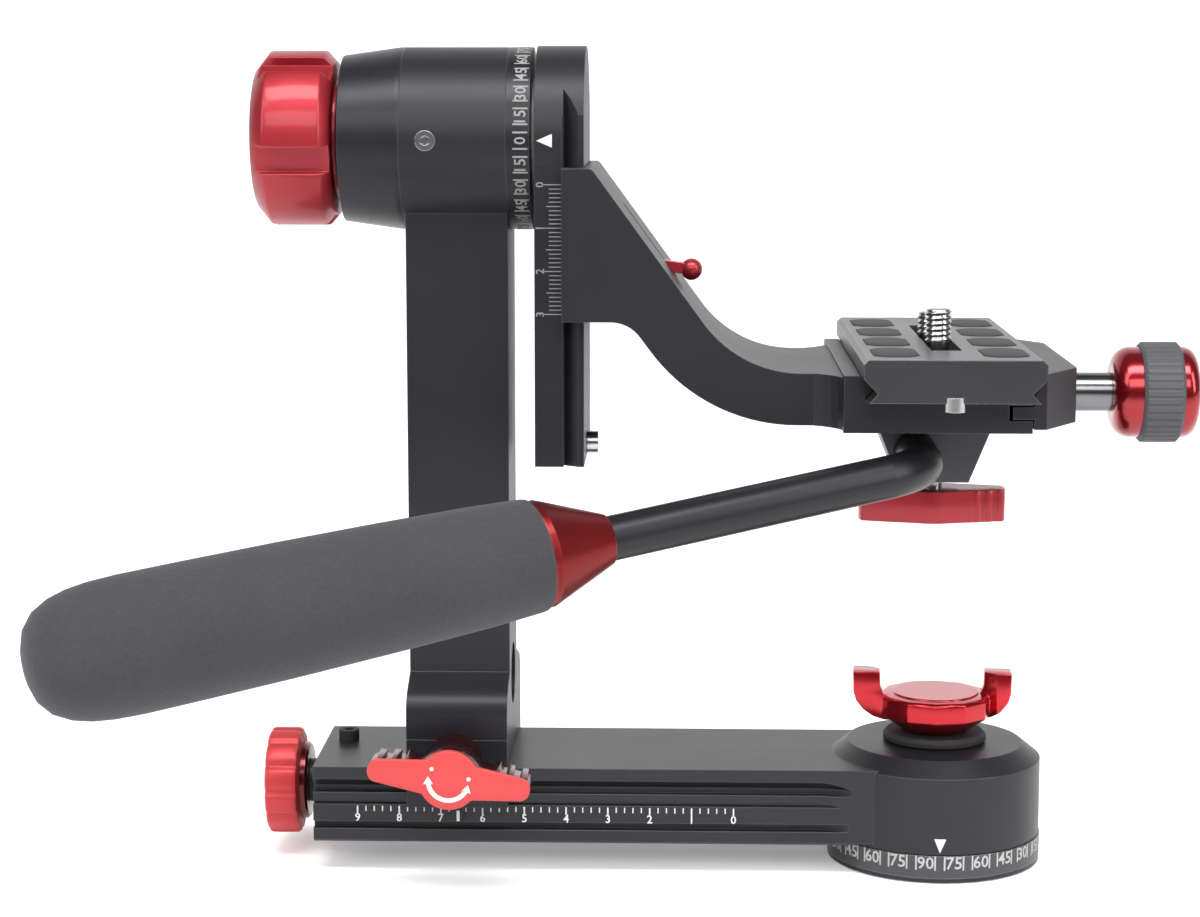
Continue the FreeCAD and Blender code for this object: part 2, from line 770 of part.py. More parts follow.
def upright_group():
    """The upright with its hub barrel and foot, the front jaw, the nut and the foot bolt."""
    upright = new_body("upright")
    pad(upright, "YZ", [box("-upright_half", "upright_half", "foot_top_z - foot_round", "hub_z")],
        "-half_w", "half_w")
    pad(upright, "YZ", [("0", "hub_z", "hub_r")], "-half_w - barrel_overhang", "half_w")
    jaw_y = "arm_half + jaw_gap"
    tip = "arm_half - vee_depth + tongue_gap"
    foot = [("-upright_half", "foot_top_z"), ("-foot_front", "foot_bulge_z + foot_round"),
            ("-foot_front", "jaw_crown + run"), (f"-({jaw_y})", "jaw_crown + run"),
            (f"-({jaw_y})", "arm_top + run"), (jaw_y, "arm_top + run"),
            (jaw_y, "lip_low - jaw_gap"), (tip, "lip_low - vee_drop - jaw_gap + tongue_gap"),
            (tip, "vee_floor + jaw_gap"), (jaw_y, "vee_floor + jaw_gap"),
            (jaw_y, "rear_jaw_low"), ("foot_back", "rear_jaw_low"),
            ("foot_back", "foot_bulge_z + foot_round"), ("upright_half", "foot_top_z")]
    pad(upright, "YZ", [foot], "-half_w", "half_w")
    soften(upright, "Fillet", "foot_round", runs_along("x", "foot_front", "foot_bulge_z + foot_round"))
    soften(upright, "Fillet", "foot_round", runs_along("x", "foot_back", "foot_bulge_z + foot_round"))
    barrel_end = "half_w + over"
    pocket(upright, "YZ", [("0", "hub_z", "bearing_r - bearing_lip")],
           "-half_w - barrel_overhang - over", barrel_end)
    for low, high in (("-half_w - barrel_overhang - over", "bearing_w - half_w - barrel_overhang"),
                      ("half_w - bearing_w", barrel_end)):
        pocket(upright, "YZ", [("0", "hub_z", "bearing_r + fit")], low, high)
    pocket(upright, "YZ", [("0", "foot_bolt_z", "foot_recess_r")], "half_w - foot_recess_in", barrel_end)
    pocket(upright, "YZ", [("0", "foot_bolt_z", "foot_bolt_r + fit")],
           "half_w - foot_recess_in - foot_bolt_len - gap", "half_w")
    pocket(upright, "XZ", [("-set_screw_x", "hub_z", "set_screw_r + fit")],
           "bearing_r - bearing_lip", "hub_r + over")
    pocket(upright, "XZ", [("-slide_stud_shift", "slide_stud_z", "slide_stud_r + fit")],
           "foot_front - slide_stud_in - gap", "foot_front + over")
    pocket(upright, "XY", [box("-tongue_half_w - fit", "tongue_half_w + fit",
                               "arm_half", "tongue_out + fit")],
           "lead_z - slot_half + gap - fit", "lead_z + slot_half - gap + fit")
    place(upright, "upright_x")

    jaw = new_body("front_jaw")
    pad(jaw, "XZ", [box("-half_w", "half_w", "jaw_low", "jaw_crown")], "front_plate", "foot_front")
    tongue = [(f"-({jaw_y}) - over", "lip_low - jaw_gap"), (f"-({jaw_y})", "lip_low - jaw_gap"),
              (f"-({tip})", "lip_low - vee_drop - jaw_gap + tongue_gap"),
              (f"-({tip})", "vee_floor + jaw_gap"), (f"-({jaw_y}) - over", "vee_floor + jaw_gap")]
    pad(jaw, "YZ", [tongue], "-half_w", "half_w")
    pad(jaw, "XZ", [box("-pointer_half", "pointer_half", "jaw_low - pointer_h", "jaw_low + over")],
        "front_plate", "front_plate + pointer_t")
    pocket(jaw, "XZ", [("-slide_stud_shift", "slide_stud_z", "slide_stud_r + run")],
           "front_plate - over", "foot_front + over")
    place(jaw, "upright_x")

    nut = turned("lead_nut", ring("lead_r + run", "lead_bore_r - run", "-nut_w / 2", "nut_w / 2"))
    tongue_t = "slot_half - gap"
    pad(nut, "XY", [box(f"-({tongue_t})", tongue_t, "lead_r + over", "tongue_out")],
        "-tongue_half_w", "tongue_half_w")
    place(nut, "upright_x", "0", "lead_z", ALONG_X)

    bolt = turned("foot_bolt", [
        ("0", "-foot_bolt_len"), ("foot_bolt_r", "-foot_bolt_len"), ("foot_bolt_r", "0"),
        ("foot_bolt_head_r", "0"), ("foot_bolt_head_r", "foot_bolt_head_h"), ("0", "foot_bolt_head_h")])
    pocket(bolt, "XY", [regular(6, "hex_r")], "foot_bolt_head_h - hex_in", "foot_bolt_head_h + over")
    place(bolt, "upright_right - foot_recess_in", "0", "foot_bolt_z", ALONG_X)


def wing_outline(reach, end_half, boss):
    """Half width points of a two-winged knob, seen along its axis."""
    upper = [(reach, f"wing_corner - {end_half}"), (reach, f"{end_half} - wing_corner"),
             (f"{reach} - wing_corner", end_half),
             (f"{boss} + wing_root", f"{end_half} + wing_swell"), (f"{boss} / 2", f"{boss} * 0.8")]
    lower = [(x, f"-({y})") for x, y in reversed(upper[2:])]
    right = lower + upper
    left = [(f"-({x})", f"-({y})") for x, y in right]
    return right + left


def wing_knob(label, reach, end_half, boss, thick, bore):
    """A two-winged knob with ribbed wing ends and a threaded bore."""
    knob = new_body(label)
    pad(knob, "XY", [wing_outline(reach, end_half, boss)], "0", thick)
    pad(knob, "XY", [("0", "0", boss)], "0", thick)
    ribs = []
    for side in ("", "-"):
        for k in range(4):
            spot = f"{side}(rib_first + rib_pitch * {k})"
            edge = f"{end_half} + rib_r / 2"
            ribs += [(spot, edge, "rib_r"), (spot, f"-({edge})", "rib_r")]
    pocket(knob, "XY", ribs, "-over", f"{thick} + over")
    pocket(knob, "XY", [("0", "0", f"{bore} + fit")], "-over", f"{thick} - knob_face")
    return knob


def slide_knob_group():
    """The wing knob, stud and collar that clamp the carriage on the arm."""
    knob = wing_knob("slide_wing_knob", "slide_wing", "slide_wing_end", "slide_boss_r",
                     "slide_wing_t", "slide_stud_r")
    tilt = Rotation(Vector(0, 0, 1), -value("slide_wing_tilt"))
    place(knob, "slide_stud_x", "-(slide_knob_y)", "slide_stud_z", TO_FRONT.multiply(tilt))
    place(turned("slide_collar", ring("slide_stud_r + fit", "slide_collar_r", "fit",
                                      "slide_collar_w")),
          "slide_stud_x", "-foot_front", "slide_stud_z", TO_FRONT)
    inner = "foot_front - slide_stud_in"
    outer = "slide_knob_y + slide_wing_t - knob_face - fit"
    place(turned("slide_knob_stud", ring("0", "slide_stud_r", inner, outer)),
          "slide_stud_x", "0", "slide_stud_z", TO_FRONT)


def hub_group():
    """What the upright's barrel carries: cap, degree ring, bearings, washer and set screw."""
    place(turned("hub_cap", [
        ("shaft_thread_r + gap", "0"), ("hub_cap_small_r", "0"), ("hub_r", "hub_cap_w - hub_cap_rim"),
        ("hub_r", "hub_cap_w"), ("hub_cap_bore", "hub_cap_w"), ("hub_cap_bore", "hub_cap_wall"),
        ("shaft_thread_r + gap", "hub_cap_wall")]), "cap_x", "0", "hub_z", ALONG_X)
    place(turned("hub_degree_ring", ring("hub_ring_bore", "hub_r", "0", "hub_ring_w")),
          "upright_right", "0", "hub_z", ALONG_X)
    races = []
    inner = "shaft_r + run"
    outer = "bearing_r"
    for low in ("cap_end", "upright_right - bearing_w"):
        high = f"{low} + bearing_w"
        races += [ring(inner, "shaft_r + bearing_race", low, high),
                  ring("shaft_r + bearing_race + gap", "bearing_r - bearing_race - gap",
                       f"{low} + bearing_race / 2", f"{high} - bearing_race / 2"),
                  ring("bearing_r - bearing_race", outer, low, high)]
    place(turned("hub_bearings", *races), "0", "0", "hub_z", ALONG_X)
    place(turned("tilt_thrust_washers", ring("shaft_r + run", "washer_r", "0", "hub_gap - run"),
                 ring("shaft_r + run", "washer_r", "-hub_ring_w + run", "-run")),
          "ring_end", "0", "hub_z", ALONG_X)
    screw = turned("hub_set_screw", ring("0", "set_screw_r", "hub_r - set_screw_len", "hub_r - fit"))
    pocket(screw, "XY", [regular(6, "set_screw_r / 2")], "hub_r - hex_in", "hub_r + over")
    place(screw, "upright_x - set_screw_x", "0", "hub_z", TO_FRONT)


def tilt_knob_group():
    """The lobed knob that clamps the tilt axis, with its threaded bush."""
    knob = turned("tilt_lock_knob", [
        ("tilt_nut_r + fit", "tilt_knob_w"), ("tilt_knob_r", "tilt_knob_w"),
        ("tilt_knob_r", "tilt_knob_edge_w"), ("tilt_knob_r - tilt_knob_edge_r", "0"),
        ("0", "0"), ("0", "knob_face"), ("tilt_nut_r + fit", "knob_face")])
    lobe_gap = box("tilt_knob_r - lobe_slot_in", "tilt_knob_r + over",
                   "-lobe_slot_w / 2", "lobe_slot_w / 2")
    slot = pocket(knob, "XY", [lobe_gap], "-over", "tilt_knob_w + over")
    repeat(knob, slot, "tilt_knob_lobes")
    turn = Rotation(Vector(0, 0, 1), value("tilt_knob_turn"))
    place(knob, "tilt_knob_x", "0", "hub_z", ALONG_X.multiply(turn))
    place(turned("tilt_knob_nut", ring("shaft_thread_r + fit", "tilt_nut_r",
                                       "knob_face + fit", "tilt_knob_w + tilt_knob_gap - run")),
          "tilt_knob_x", "0", "hub_z", ALONG_X)


def rail_group():
    """The tilting rail with its disc and shaft."""
    rail = new_body("tilt_rail")
    pad(rail, "YZ", [("0", "0", "disc_r")], "0", "rail_t")
    pad(rail, "YZ", [box("-rail_half", "rail_half", "-rail_drop", "0")], "0", "rail_t")
    vee_out = "rail_t - rail_lip"
    vee_in = "rail_t - rail_lip - rail_vee"
    floor_y = "rail_half - rail_vee_in"
    grip_x = "rail_t - grip_reach - gap"
    reach = "rail_half + over"
    vee = [(grip_x, "rail_half"), (vee_in, "rail_half"),
           (vee_in, floor_y), (f"{vee_in} + rail_vee_floor", floor_y),
           (vee_out, "rail_half"), ("rail_t + over", "rail_half"), ("rail_t + over", reach),
           (grip_x, reach)]
    vees = [[(x, f"{side}({y})") for x, y in vee] for side in ("", "-")]
    pocket(rail, "XY", vees, "-rail_drop - over", "disc_r + over")
    pocket(rail, "YZ", [("0", "0", "shaft_r + fit")], "-over", "shaft_in + fit")
    pocket(rail, "YZ", [("0", "rail_stop_up - rail_drop", "rail_stop_thread_r + fit")],
           "rail_t - rail_stop_shank - gap", "rail_t + over")
    place(rail, "disc_x", "0", "hub_z")

    shaft_left = "cap_end - disc_x + run"
    place(turned("tilt_shaft", [
        ("0", "shaft_in"), ("shaft_r", "shaft_in"), ("shaft_r", shaft_left),
        ("shaft_thread_r", shaft_left), ("shaft_thread_r", "tilt_knob_x - disc_x + knob_face + gap"),
        ("0", "tilt_knob_x - disc_x + knob_face + gap")]), "disc_x", "0", "hub_z", ALONG_X)
    stop = turned("rail_stop_screw", [
        ("0", "-rail_stop_shank"), ("rail_stop_thread_r", "-rail_stop_shank"),
        ("rail_stop_thread_r", "0"), ("rail_stop_r", "0"), ("rail_stop_r", "rail_stop_h"),
        ("0", "rail_stop_h")])
    pocket(stop, "XY", [regular(6, "rail_stop_r / 2")], "rail_stop_h / 2", "rail_stop_h + over")
    place(stop, "rail_x", "0", "hub_z - rail_drop + rail_stop_up", ALONG_X)


def cradle_group():
    """The swan-necked cradle, its brake parts and the handle block under it."""
    cradle = new_body("cradle_arm")
    low = "-(cradle_low)"
    under = "-(neck_under)"
    neck = [("-grip_reach", "-cradle_top"), ("knee_x", "-cradle_top"), ("neck_low_x", "-neck_drop"),
            ("neck_reach", "-neck_drop"), ("neck_reach", under), ("under_low_x", under),
            ("under_knee_x", low), ("-grip_reach", low)]
    pad(cradle, "XZ", [neck], "-cradle_half", "cradle_half")
    for size, x, z in (("neck_round", "neck_low_x", "neck_drop"),
                       ("under_round", "under_low_x", "neck_under"),
                       ("under_knee_round", "under_knee_x", "cradle_low"),
                       ("knee_round", "knee_x", "cradle_top")):
        soften(cradle, "Fillet", size, runs_along("y", x, z))
    plate_c = "neck_reach + plate_in"
    seat = "floor_z + plate_seat"
    vee = f"{seat} + plate_vee_z"
    jaw_high = "floor_z + fixed_jaw_h"
    upper_x = f"{plate_c} - plate_vee_half - grip_clear - ({jaw_high} - ({vee}))"
    clamp = [("neck_reach - over", under), ("clamp_end", under), ("clamp_end", "floor_z"),
             (f"{plate_c} - plate_foot_half - grip_clear", "floor_z"),
             (f"{plate_c} - plate_foot_half - grip_clear", seat),
             (f"{plate_c} - plate_vee_half - grip_clear", vee),
             (upper_x, jaw_high), ("neck_reach - over", jaw_high)]
    pad(cradle, "XZ", [clamp], "-clamp_half", "clamp_half")
    flares = []
    for side in ("", "-"):
        turns = [f"flare_angle * {k / FLARE_STEPS}" for k in range(FLARE_STEPS + 1)]
        flare = [(f"neck_reach - flare_r * (1 - cos({turn} * 1 deg))",
                  f"clamp_half - flare_r * sin({turn} * 1 deg)") for turn in turns]
        flare += [("neck_reach - flare_r * (1 - cos(flare_angle * 1 deg))", "cradle_half - over"),
                  ("neck_reach", "cradle_half - over")]
        flares.append([(x, f"{side}({y})") for x, y in flare])
    pad(cradle, "XY", flares, under, "-neck_drop")
    channel = [("-grip_reach - over", "rail_half + gap")]
    tooth_x = "channel_gap - rail_lip - rail_vee"
    tooth_y = "rail_half - rail_vee_in + channel_gap * 3"
    flank_x = "-rail_lip - channel_gap * 2"
    channel += [(tooth_x, "rail_half + gap"), (tooth_x, tooth_y),
                (f"{tooth_x} + rail_vee_floor", tooth_y),
                (flank_x, "rail_half"), (flank_x, "rail_half + gap"),
                ("channel_gap", "rail_half + gap")]
    channel += [(x, f"-({y})") for x, y in reversed(channel)]
    pocket(cradle, "XY", [channel], f"{low} - over", "over - cradle_top")
    window = [("lever_x - lever_hub_r - gap", "-lever_drop - lever_slot_low"),
              ("lever_x + lever_reach", "-lever_drop - lever_slot_low"),
              ("lever_x + lever_reach", "lever_slot_top - lever_drop"),
              ("lever_x - lever_hub_r - gap", "lever_slot_top - lever_drop")]
    pocket(cradle, "XZ", [window], "-lever_slot_half", "lever_slot_half")
    pocket(cradle, "XZ", [("lever_x", "-lever_drop", "lever_pin_r + fit")],
           "-cradle_half - over", "lever_pin_in + gap")
    pocket(cradle, "YZ", [("0", "-lever_drop", "plunger_r + run")], "0", "lever_x")
    notch_low = f"{under} + guide_low - gap"
    notch_high = f"{under} + guide_high + gap"
    pocket(cradle, "XZ", [box("clamp_end + jaw_clear - guide_len - guide_slot_end", "clamp_end + over",
                              notch_low, notch_high)], "-clamp_half - over", "clamp_half + over")
    bore_z = f"{under} + clamp_screw_rise"
    pocket(cradle, "YZ", [("0", bore_z, "clamp_screw_r + run")],
           "clamp_end - clamp_screw_in", "clamp_end + over")
    pins = [(y, bore_z, "guide_pin_r + run") for y in ("guide_pin_y", "-guide_pin_y")]
    pocket(cradle, "YZ", pins, "jaw_x - rail_x + jaw_w / 2 - guide_pin_len - gap", "clamp_end + over")
    screws = [(f"{plate_c} + block_screw_x", y) for y in ("block_screw_y", "-block_screw_y")]
    pocket(cradle, "XY", [(x, y, "block_screw_r + fit") for x, y in screws],
           f"{under} - over", "floor_z + over")
    pocket(cradle, "XY", [(x, y, "block_screw_head_r + fit") for x, y in screws],
           "floor_z - block_screw_head_h - gap", "floor_z + over")
    place(cradle, "rail_x", "0", "hub_z")

    place(turned("brake_plunger", ring("0", "plunger_r", "run", "lever_x - lever_hub_r - gap")),
          "rail_x", "0", "hub_z - lever_drop", ALONG_X)
    place(turned("lever_pin", ring("0", "lever_pin_r", "-cradle_half", "lever_pin_in")),
          "rail_x + lever_x", "0", "hub_z - lever_drop", TO_FRONT)
    lever = new_body("brake_lever")
    half_t = "lever_t / 2"
    pad(lever, "XZ", [("0", "0", "lever_hub_r")], f"-{half_t}", half_t)
    pad(lever, "XZ", [box("0", "lever_reach", "-lever_stem_half", "lever_stem_half")],
        f"-{half_t}", half_t)
    pocket(lever, "XZ", [("0", "0", "lever_pin_r + run")], "-lever_t", "lever_t")
    tilt = Rotation(Vector(0, 1, 0), value("lever_dip"))
    place(lever, "rail_x + lever_x", "0", "hub_z - lever_drop", tilt)
    ball = new_body("lever_ball")
    sphere = ball.newObject("PartDesign::AdditiveSphere", "lever_ball_sphere")
    bind(sphere, "Radius", "lever_ball_r")
    ball.Tip = sphere
    doc.recompute()
    pocket(ball, "YZ", [box(f"-{half_t} - fit", f"{half_t} + fit",
                            "-lever_stem_half - fit", "lever_stem_half + fit")],
           "-lever_ball_r - over", "fit")
    place(ball, "rail_x + lever_x + lever_reach * cos(lever_dip * 1 deg)", "0",
          "hub_z - lever_drop - lever_reach * sin(lever_dip * 1 deg)", tilt)


def clamp_group():
    """The quick-release clamp's moving jaw, its pins and its knob."""
    jaw = new_body("moving_jaw")
    plate_c = "plate_x - jaw_x"
    seat = "clamp_floor_t + plate_seat"
    vee = f"{seat} + plate_vee_z"
    tip = f"{plate_c} + plate_vee_half + grip_clear"
    side = f"{plate_c} + plate_half_w + grip_clear"
    top = "clamp_floor_t + jaw_top"
    outline = [(tip, vee), (side, f"{vee} + plate_half_w - plate_vee_half"), (side, top),
               ("jaw_w", top), ("jaw_w", "jaw_foot"), ("0", "jaw_foot"), ("0", seat),
               (f"{plate_c} + plate_foot_half + grip_clear", seat)]
    pad(jaw, "XZ", [outline], "-clamp_half", "clamp_half")
    pad(jaw, "XZ", [box("-guide_len", "over", "guide_low", "guide_high")], "-clamp_half", "clamp_half")
    corners = []
    for sign in ("", "-"):
        corner = [("jaw_w - jaw_chamfer_x", "clamp_half"), ("jaw_w", "clamp_half - jaw_chamfer_y"),
                  ("jaw_w + over", "clamp_half - jaw_chamfer_y"), ("jaw_w + over", "clamp_half + over"),
                  ("jaw_w - jaw_chamfer_x", "clamp_half + over")]
        corners.append([(x, f"{sign}({y})") for x, y in corner])
    pocket(jaw, "XY", corners, "-over", f"{top} + over")
    pocket(jaw, "YZ", [("0", "clamp_screw_rise", "clamp_screw_r + run")],
           "-guide_len - over", "jaw_w + over")
    pins = [(y, "clamp_screw_rise", "guide_pin_r + fit") for y in ("guide_pin_y", "-guide_pin_y")]
    pocket(jaw, "YZ", pins, "-guide_len - over", "jaw_w / 2 + fit")
    place(jaw, "jaw_x", "0", "clamp_z")

    rods = new_body("jaw_guide_pins")
    spots = [(y, "0", "guide_pin_r") for y in ("guide_pin_y", "-guide_pin_y")]
    pad(rods, "YZ", spots, "jaw_w / 2 - guide_pin_len", "jaw_w / 2")
    place(rods, "jaw_x", "0", "screw_z")

    screw_end = "jaw_w + clamp_shaft_w + core_w / 2"
    place(turned("clamp_screw", [
        ("0", "2 - clamp_screw_in"), ("clamp_screw_r", "2 - clamp_screw_in"),
        ("clamp_screw_r", "jaw_w + run"), ("clamp_shaft_r", "jaw_w + run"),
        ("clamp_shaft_r", "jaw_w + clamp_shaft_w"), ("clamp_screw_r", "jaw_w + clamp_shaft_w"),
        ("clamp_screw_r", screw_end), ("0", screw_end)]), "jaw_x", "0", "screw_z", ALONG_X)

    grip_bore = "core_r - grip_edge"
    grip_end = "grip_start + grip_w"
    core = turned("clamp_knob_core", [
        ("clamp_screw_r + fit", "0"), ("core_r", "0"), ("core_r", "grip_start"),
        (grip_bore, "grip_start"), (grip_bore, grip_end), ("core_r", grip_end),
        ("core_r", "core_w"), ("0", "core_w"), ("0", "core_w / 2 + fit"),
        ("clamp_screw_r + fit", "core_w / 2 + fit")])
    soften(core, "Fillet", "core_belly", rim_at("core_r", "0"))
    soften(core, "Fillet", "core_dome", rim_at("core_r", "core_w"))
    place(core, "core_x", "0", "screw_z", ALONG_X)
    grip = turned("clamp_knob_grip", [
        (f"{grip_bore} + fit", "grip_start + fit"), ("grip_r - grip_edge", "grip_start + fit"),
        ("grip_r", "grip_start + grip_edge"), ("grip_r", f"{grip_end} - grip_edge"),
        ("grip_r - grip_edge", f"{grip_end} - fit"), (f"{grip_bore} + fit", f"{grip_end} - fit")])
    rib = pocket(grip, "XY", [("grip_r + grip_rib_r / 2", "0", "grip_rib_r")],
                 "grip_start - over", f"{grip_end} + over")
    repeat(grip, rib, "grip_ribs")
    place(grip, "core_x", "0", "screw_z", ALONG_X)


def rounded(x, y, half_x, half_y, corner):
    """The outline of a rectangle with cut corners about a centre."""
    quarter = [(f"{half_x}", f"{half_y} - {corner}"), (f"{half_x} - {corner}", f"{half_y}")]
    turns = []
    for sign_x, sign_y, points in (("+", "+", quarter), ("-", "+", quarter[::-1]),
                                   ("-", "-", quarter), ("+", "-", quarter[::-1])):
        turns += [(f"{x} {sign_x} ({a})", f"{y} {sign_y} ({b})") for a, b in points]
    return turns


def plate_group():
    """The camera plate with its rubber pads, stop screws and two camera screws."""
    plate = new_body("qr_plate")
    half = [("plate_foot_half", "0"), ("plate_vee_half", "plate_vee_z"),
            ("plate_half_w", "plate_vee_z + plate_half_w - plate_vee_half"),
            ("plate_half_w", "plate_h")]
    outline = half + [(f"-{x}", z) for x, z in reversed(half)]
    pad(plate, "XZ", [outline], "-plate_half_len", "plate_half_len")
    soften(plate, "Chamfer", "plate_edge", runs_along("y", "plate_half_w", "plate_h"))
    pocket(plate, "XY", [box("-plate_slot_half", "plate_slot_half",
                             "-plate_slot_len", "plate_slot_len")], "-over", "plate_h + over")
    under_len = "plate_slot_len + under_slot_half - plate_slot_half"
    pocket(plate, "XY", [box("-under_slot_half", "under_slot_half", f"-({under_len})", under_len)],
           "-over", "under_slot_h")
    spots = [(f"{side}pad_x", f"pad_pitch * {k - 1.5}") for side in ("", "-") for k in range(4)]
    fitted = [rounded(x, y, "(pad_half_x + fit)", "(pad_half_y + fit)", "pad_corner") for x, y in spots]
    pocket(plate, "XY", fitted, "plate_h - pad_in", "plate_h + over")
    stops = ("stop_y", "-stop_y")
    pocket(plate, "XY", [("0", y, "stop_thread_r + fit") for y in stops], "-over", "stop_in + gap")
    pocket(plate, "XY", [("0", y, "stop_r + fit") for y in stops], "-over", "stop_sunk")
    place(plate, "plate_x", "0", "plate_z")

    pads = new_body("plate_pads")
    pad(pads, "XY", [rounded(x, y, "pad_half_x", "pad_half_y", "pad_corner") for x, y in spots],
        "plate_h - pad_in", "plate_h + pad_proud")
    place(pads, "plate_x", "0", "plate_z")
    screws = new_body("plate_stop_screws")
    pad(screws, "XY", [("0", y, "stop_r") for y in stops], "stop_sunk - stop_h", "stop_sunk - fit")
    pad(screws, "XY", [("0", y, "stop_thread_r") for y in stops], "stop_sunk - fit", "stop_in")
    place(screws, "plate_x", "0", "plate_z")

    keeper_low = "under_slot_h - run - keeper_h"
    head_top = f"{keeper_low} - run"
    for name, side in (("front", "-"), ("rear", "")):
        screw = turned(f"{name}_camera_screw", [
            ("0", f"{head_top} - camera_head_h"), ("camera_head_r", f"{head_top} - camera_head_h"),
            ("camera_head_r", head_top), ("camera_shank_r", head_top),
            ("camera_shank_r", "plate_h + camera_thread_up"), ("camera_r", "plate_h + camera_thread_up"),
            ("camera_r", f"plate_h + {name}_proud"), ("0", f"plate_h + {name}_proud")])
        pocket(screw, "XY", [box("-camera_head_r", "camera_head_r", "-screw_slot_half",
                                 "screw_slot_half")], "0", f"{head_top} - camera_head_h / 2")
        place(screw, "plate_x", f"{side}camera_y", "plate_z")
        keeper = turned(f"{name}_screw_keeper",
                        ring("camera_shank_r + run", "camera_head_r + fit", keeper_low, "under_slot_h - run"))
        place(keeper, "plate_x", f"{side}camera_y", "plate_z")


def handle_group():
    """The block under the clamp and the pan handle that swings in it."""
    block = new_body("handle_block")
    sides = [("-block_half - block_shift", "0"), ("-block_foot_half - block_shift", "-block_h"),
             ("block_foot_half - block_shift", "-block_h"), ("block_half - block_shift", "0")]
    pad(block, "XZ", [sides], "-block_depth", "block_depth")
    pocket(block, "XZ", [("-stub_x", "-stub_drop", "rod_r + run")],
           "-stub_in - gap", "block_depth + over")
    press = "stub_drop + rod_r + run"
    pocket(block, "XY", [("wing_shift", "0", "wing_stud_r + fit")], "-block_h - over", f"-({press})")
    screws = [("block_screw_x", y) for y in ("block_screw_y", "-block_screw_y")]
    screw_top = "clamp_floor_t - run"
    head_low = f"{screw_top} - block_screw_head_h"
    screw_low = f"{head_low} - block_screw_len"
    pocket(block, "XY", [(x, y, "block_screw_r + fit") for x, y in screws], f"{screw_low} - gap", "over")
    place(block, "plate_x", "0", "clamp_z")
    fixings = new_body("block_screws")
    pad(fixings, "XY", [(x, y, "block_screw_head_r") for x, y in screws], head_low, screw_top)
    pad(fixings, "XY", [(x, y, "block_screw_r") for x, y in screws], screw_low, head_low)
    place(fixings, "plate_x", "0", "clamp_z")

    droop = value("handle_droop_angle")
    bend = value("handle_bend_angle")
    forward = Vector(0, -1, 0)
    aside = Rotation(Vector(0, 1, 0), -droop).multVec(Vector(-1, 0, 0))
    frame = Rotation(forward, aside, forward.cross(aside), "XYZ")
    rod = new_body("handle_rod")
    path = rod.newObject("Sketcher::SketchObject", "handle_path")
    plane = next(item for item in rod.Origin.OriginFeatures if item.Role == "XY_Plane")
    path.AttachmentSupport = [(plane, "")]
    path.MapMode = "FlatFace"
    setback = "elbow_r * tan(handle_bend_angle * 0.5 deg)"
    start = Vector(-value("stub_in"), 0, 0)
    arc_start = Vector(value("elbow_out") - value(setback), 0, 0)
    centre = arc_start + Vector(0, value("elbow_r"), 0)
    tip_x = "elbow_out + rod_run * cos(handle_bend_angle * 1 deg)"
    tip_y = "rod_run * sin(handle_bend_angle * 1 deg)"
    turn = Part.Circle(centre, Vector(0, 0, 1), value("elbow_r"))
    from_angle = math.radians(-90)
    to_angle = math.radians(bend - 90)
    arc = Part.ArcOfCircle(turn, from_angle, to_angle)
    arc_end = centre + Vector(math.cos(to_angle), math.sin(to_angle), 0) * value("elbow_r")
    path.addGeometry(Part.LineSegment(start, arc_start))
    path.addGeometry(arc)
    path.addGeometry(Part.LineSegment(arc_end, Vector(value(tip_x), value(tip_y), 0)))
    pin(path, 0, 1, "-stub_in", "0")
    pin(path, 0, 2, f"elbow_out - {setback}", "0")
    path.addConstraint(Sketcher.Constraint("Tangent", 0, 2, 1, 1))
    path.addConstraint(Sketcher.Constraint("Tangent", 1, 2, 2, 1))
    number = path.addConstraint(Sketcher.Constraint("Radius", 1, value("elbow_r")))
    bind(path, f"Constraints[{number}]", "elbow_r")
    pin(path, 2, 2, tip_x, tip_y)
    section = sketch_on(rod, "YZ", [("0", "0", "rod_r")], "-stub_in")
    pipe = rod.newObject("PartDesign::AdditivePipe", "handle_rod_pipe")
    pipe.Profile = section
    pipe.Spine = path
    rod.Tip = pipe
    place(rod, "stub_at", "0", "stub_z", frame)

    run = frame.multVec(Vector(math.cos(math.radians(bend)), math.sin(math.radians(bend)), 0))
    along = Rotation(Vector(0, 0, 1), run)

    def on_handle(body):
        place(body, "stub_at", "-elbow_out", "stub_z", along)

    on_handle(turned("handle_ferrule", [
        ("rod_r + fit", "ferrule_start"), ("ferrule_small_r", "ferrule_start"),
        ("ferrule_r", "foam_start - ferrule_rim"), ("ferrule_r", "foam_start"),
        ("rod_r + fit", "foam_start")]))
    on_handle(turned("grip_core_tube", ring("rod_r + fit", "core_tube_r", "foam_start + fit",
                                            "foam_start + core_tube_len")))
    tube_end = "foam_start + core_tube_len + fit"
    foam = turned("foam_grip", [
        ("core_tube_r + fit", "foam_start + fit"), ("foam_r", "foam_start + fit"),
        ("foam_end_r", "foam_end"), ("0", "foam_end"), ("0", tube_end),
        ("core_tube_r + fit", tube_end)])
    soften(foam, "Fillet", "foam_nose", rim_at("foam_r", "foam_start + fit"))
    soften(foam, "Fillet", "foam_dome", rim_at("foam_end_r", "foam_end"))
    on_handle(foam)

    knob = wing_knob("handle_wing_knob", "handle_wing", "handle_wing_end", "handle_boss_r",
                     "handle_wing_t", "wing_stud_r")
    place(knob, "wing_x", "0", "wing_z", DOWN)
    pad_low = "stub_z - rod_r - run - brake_pad_t"
    stud_low = "wing_z - handle_wing_t + knob_face + fit"
    place(turned("handle_wing_stud", ring("0", "wing_stud_r", stud_low, f"{pad_low} - fit")),
          "wing_x")
    place(turned("handle_brake_pad", ring("0", "wing_stud_r", pad_low,
                                          f"{pad_low} + brake_pad_t - fit")), "wing_x")


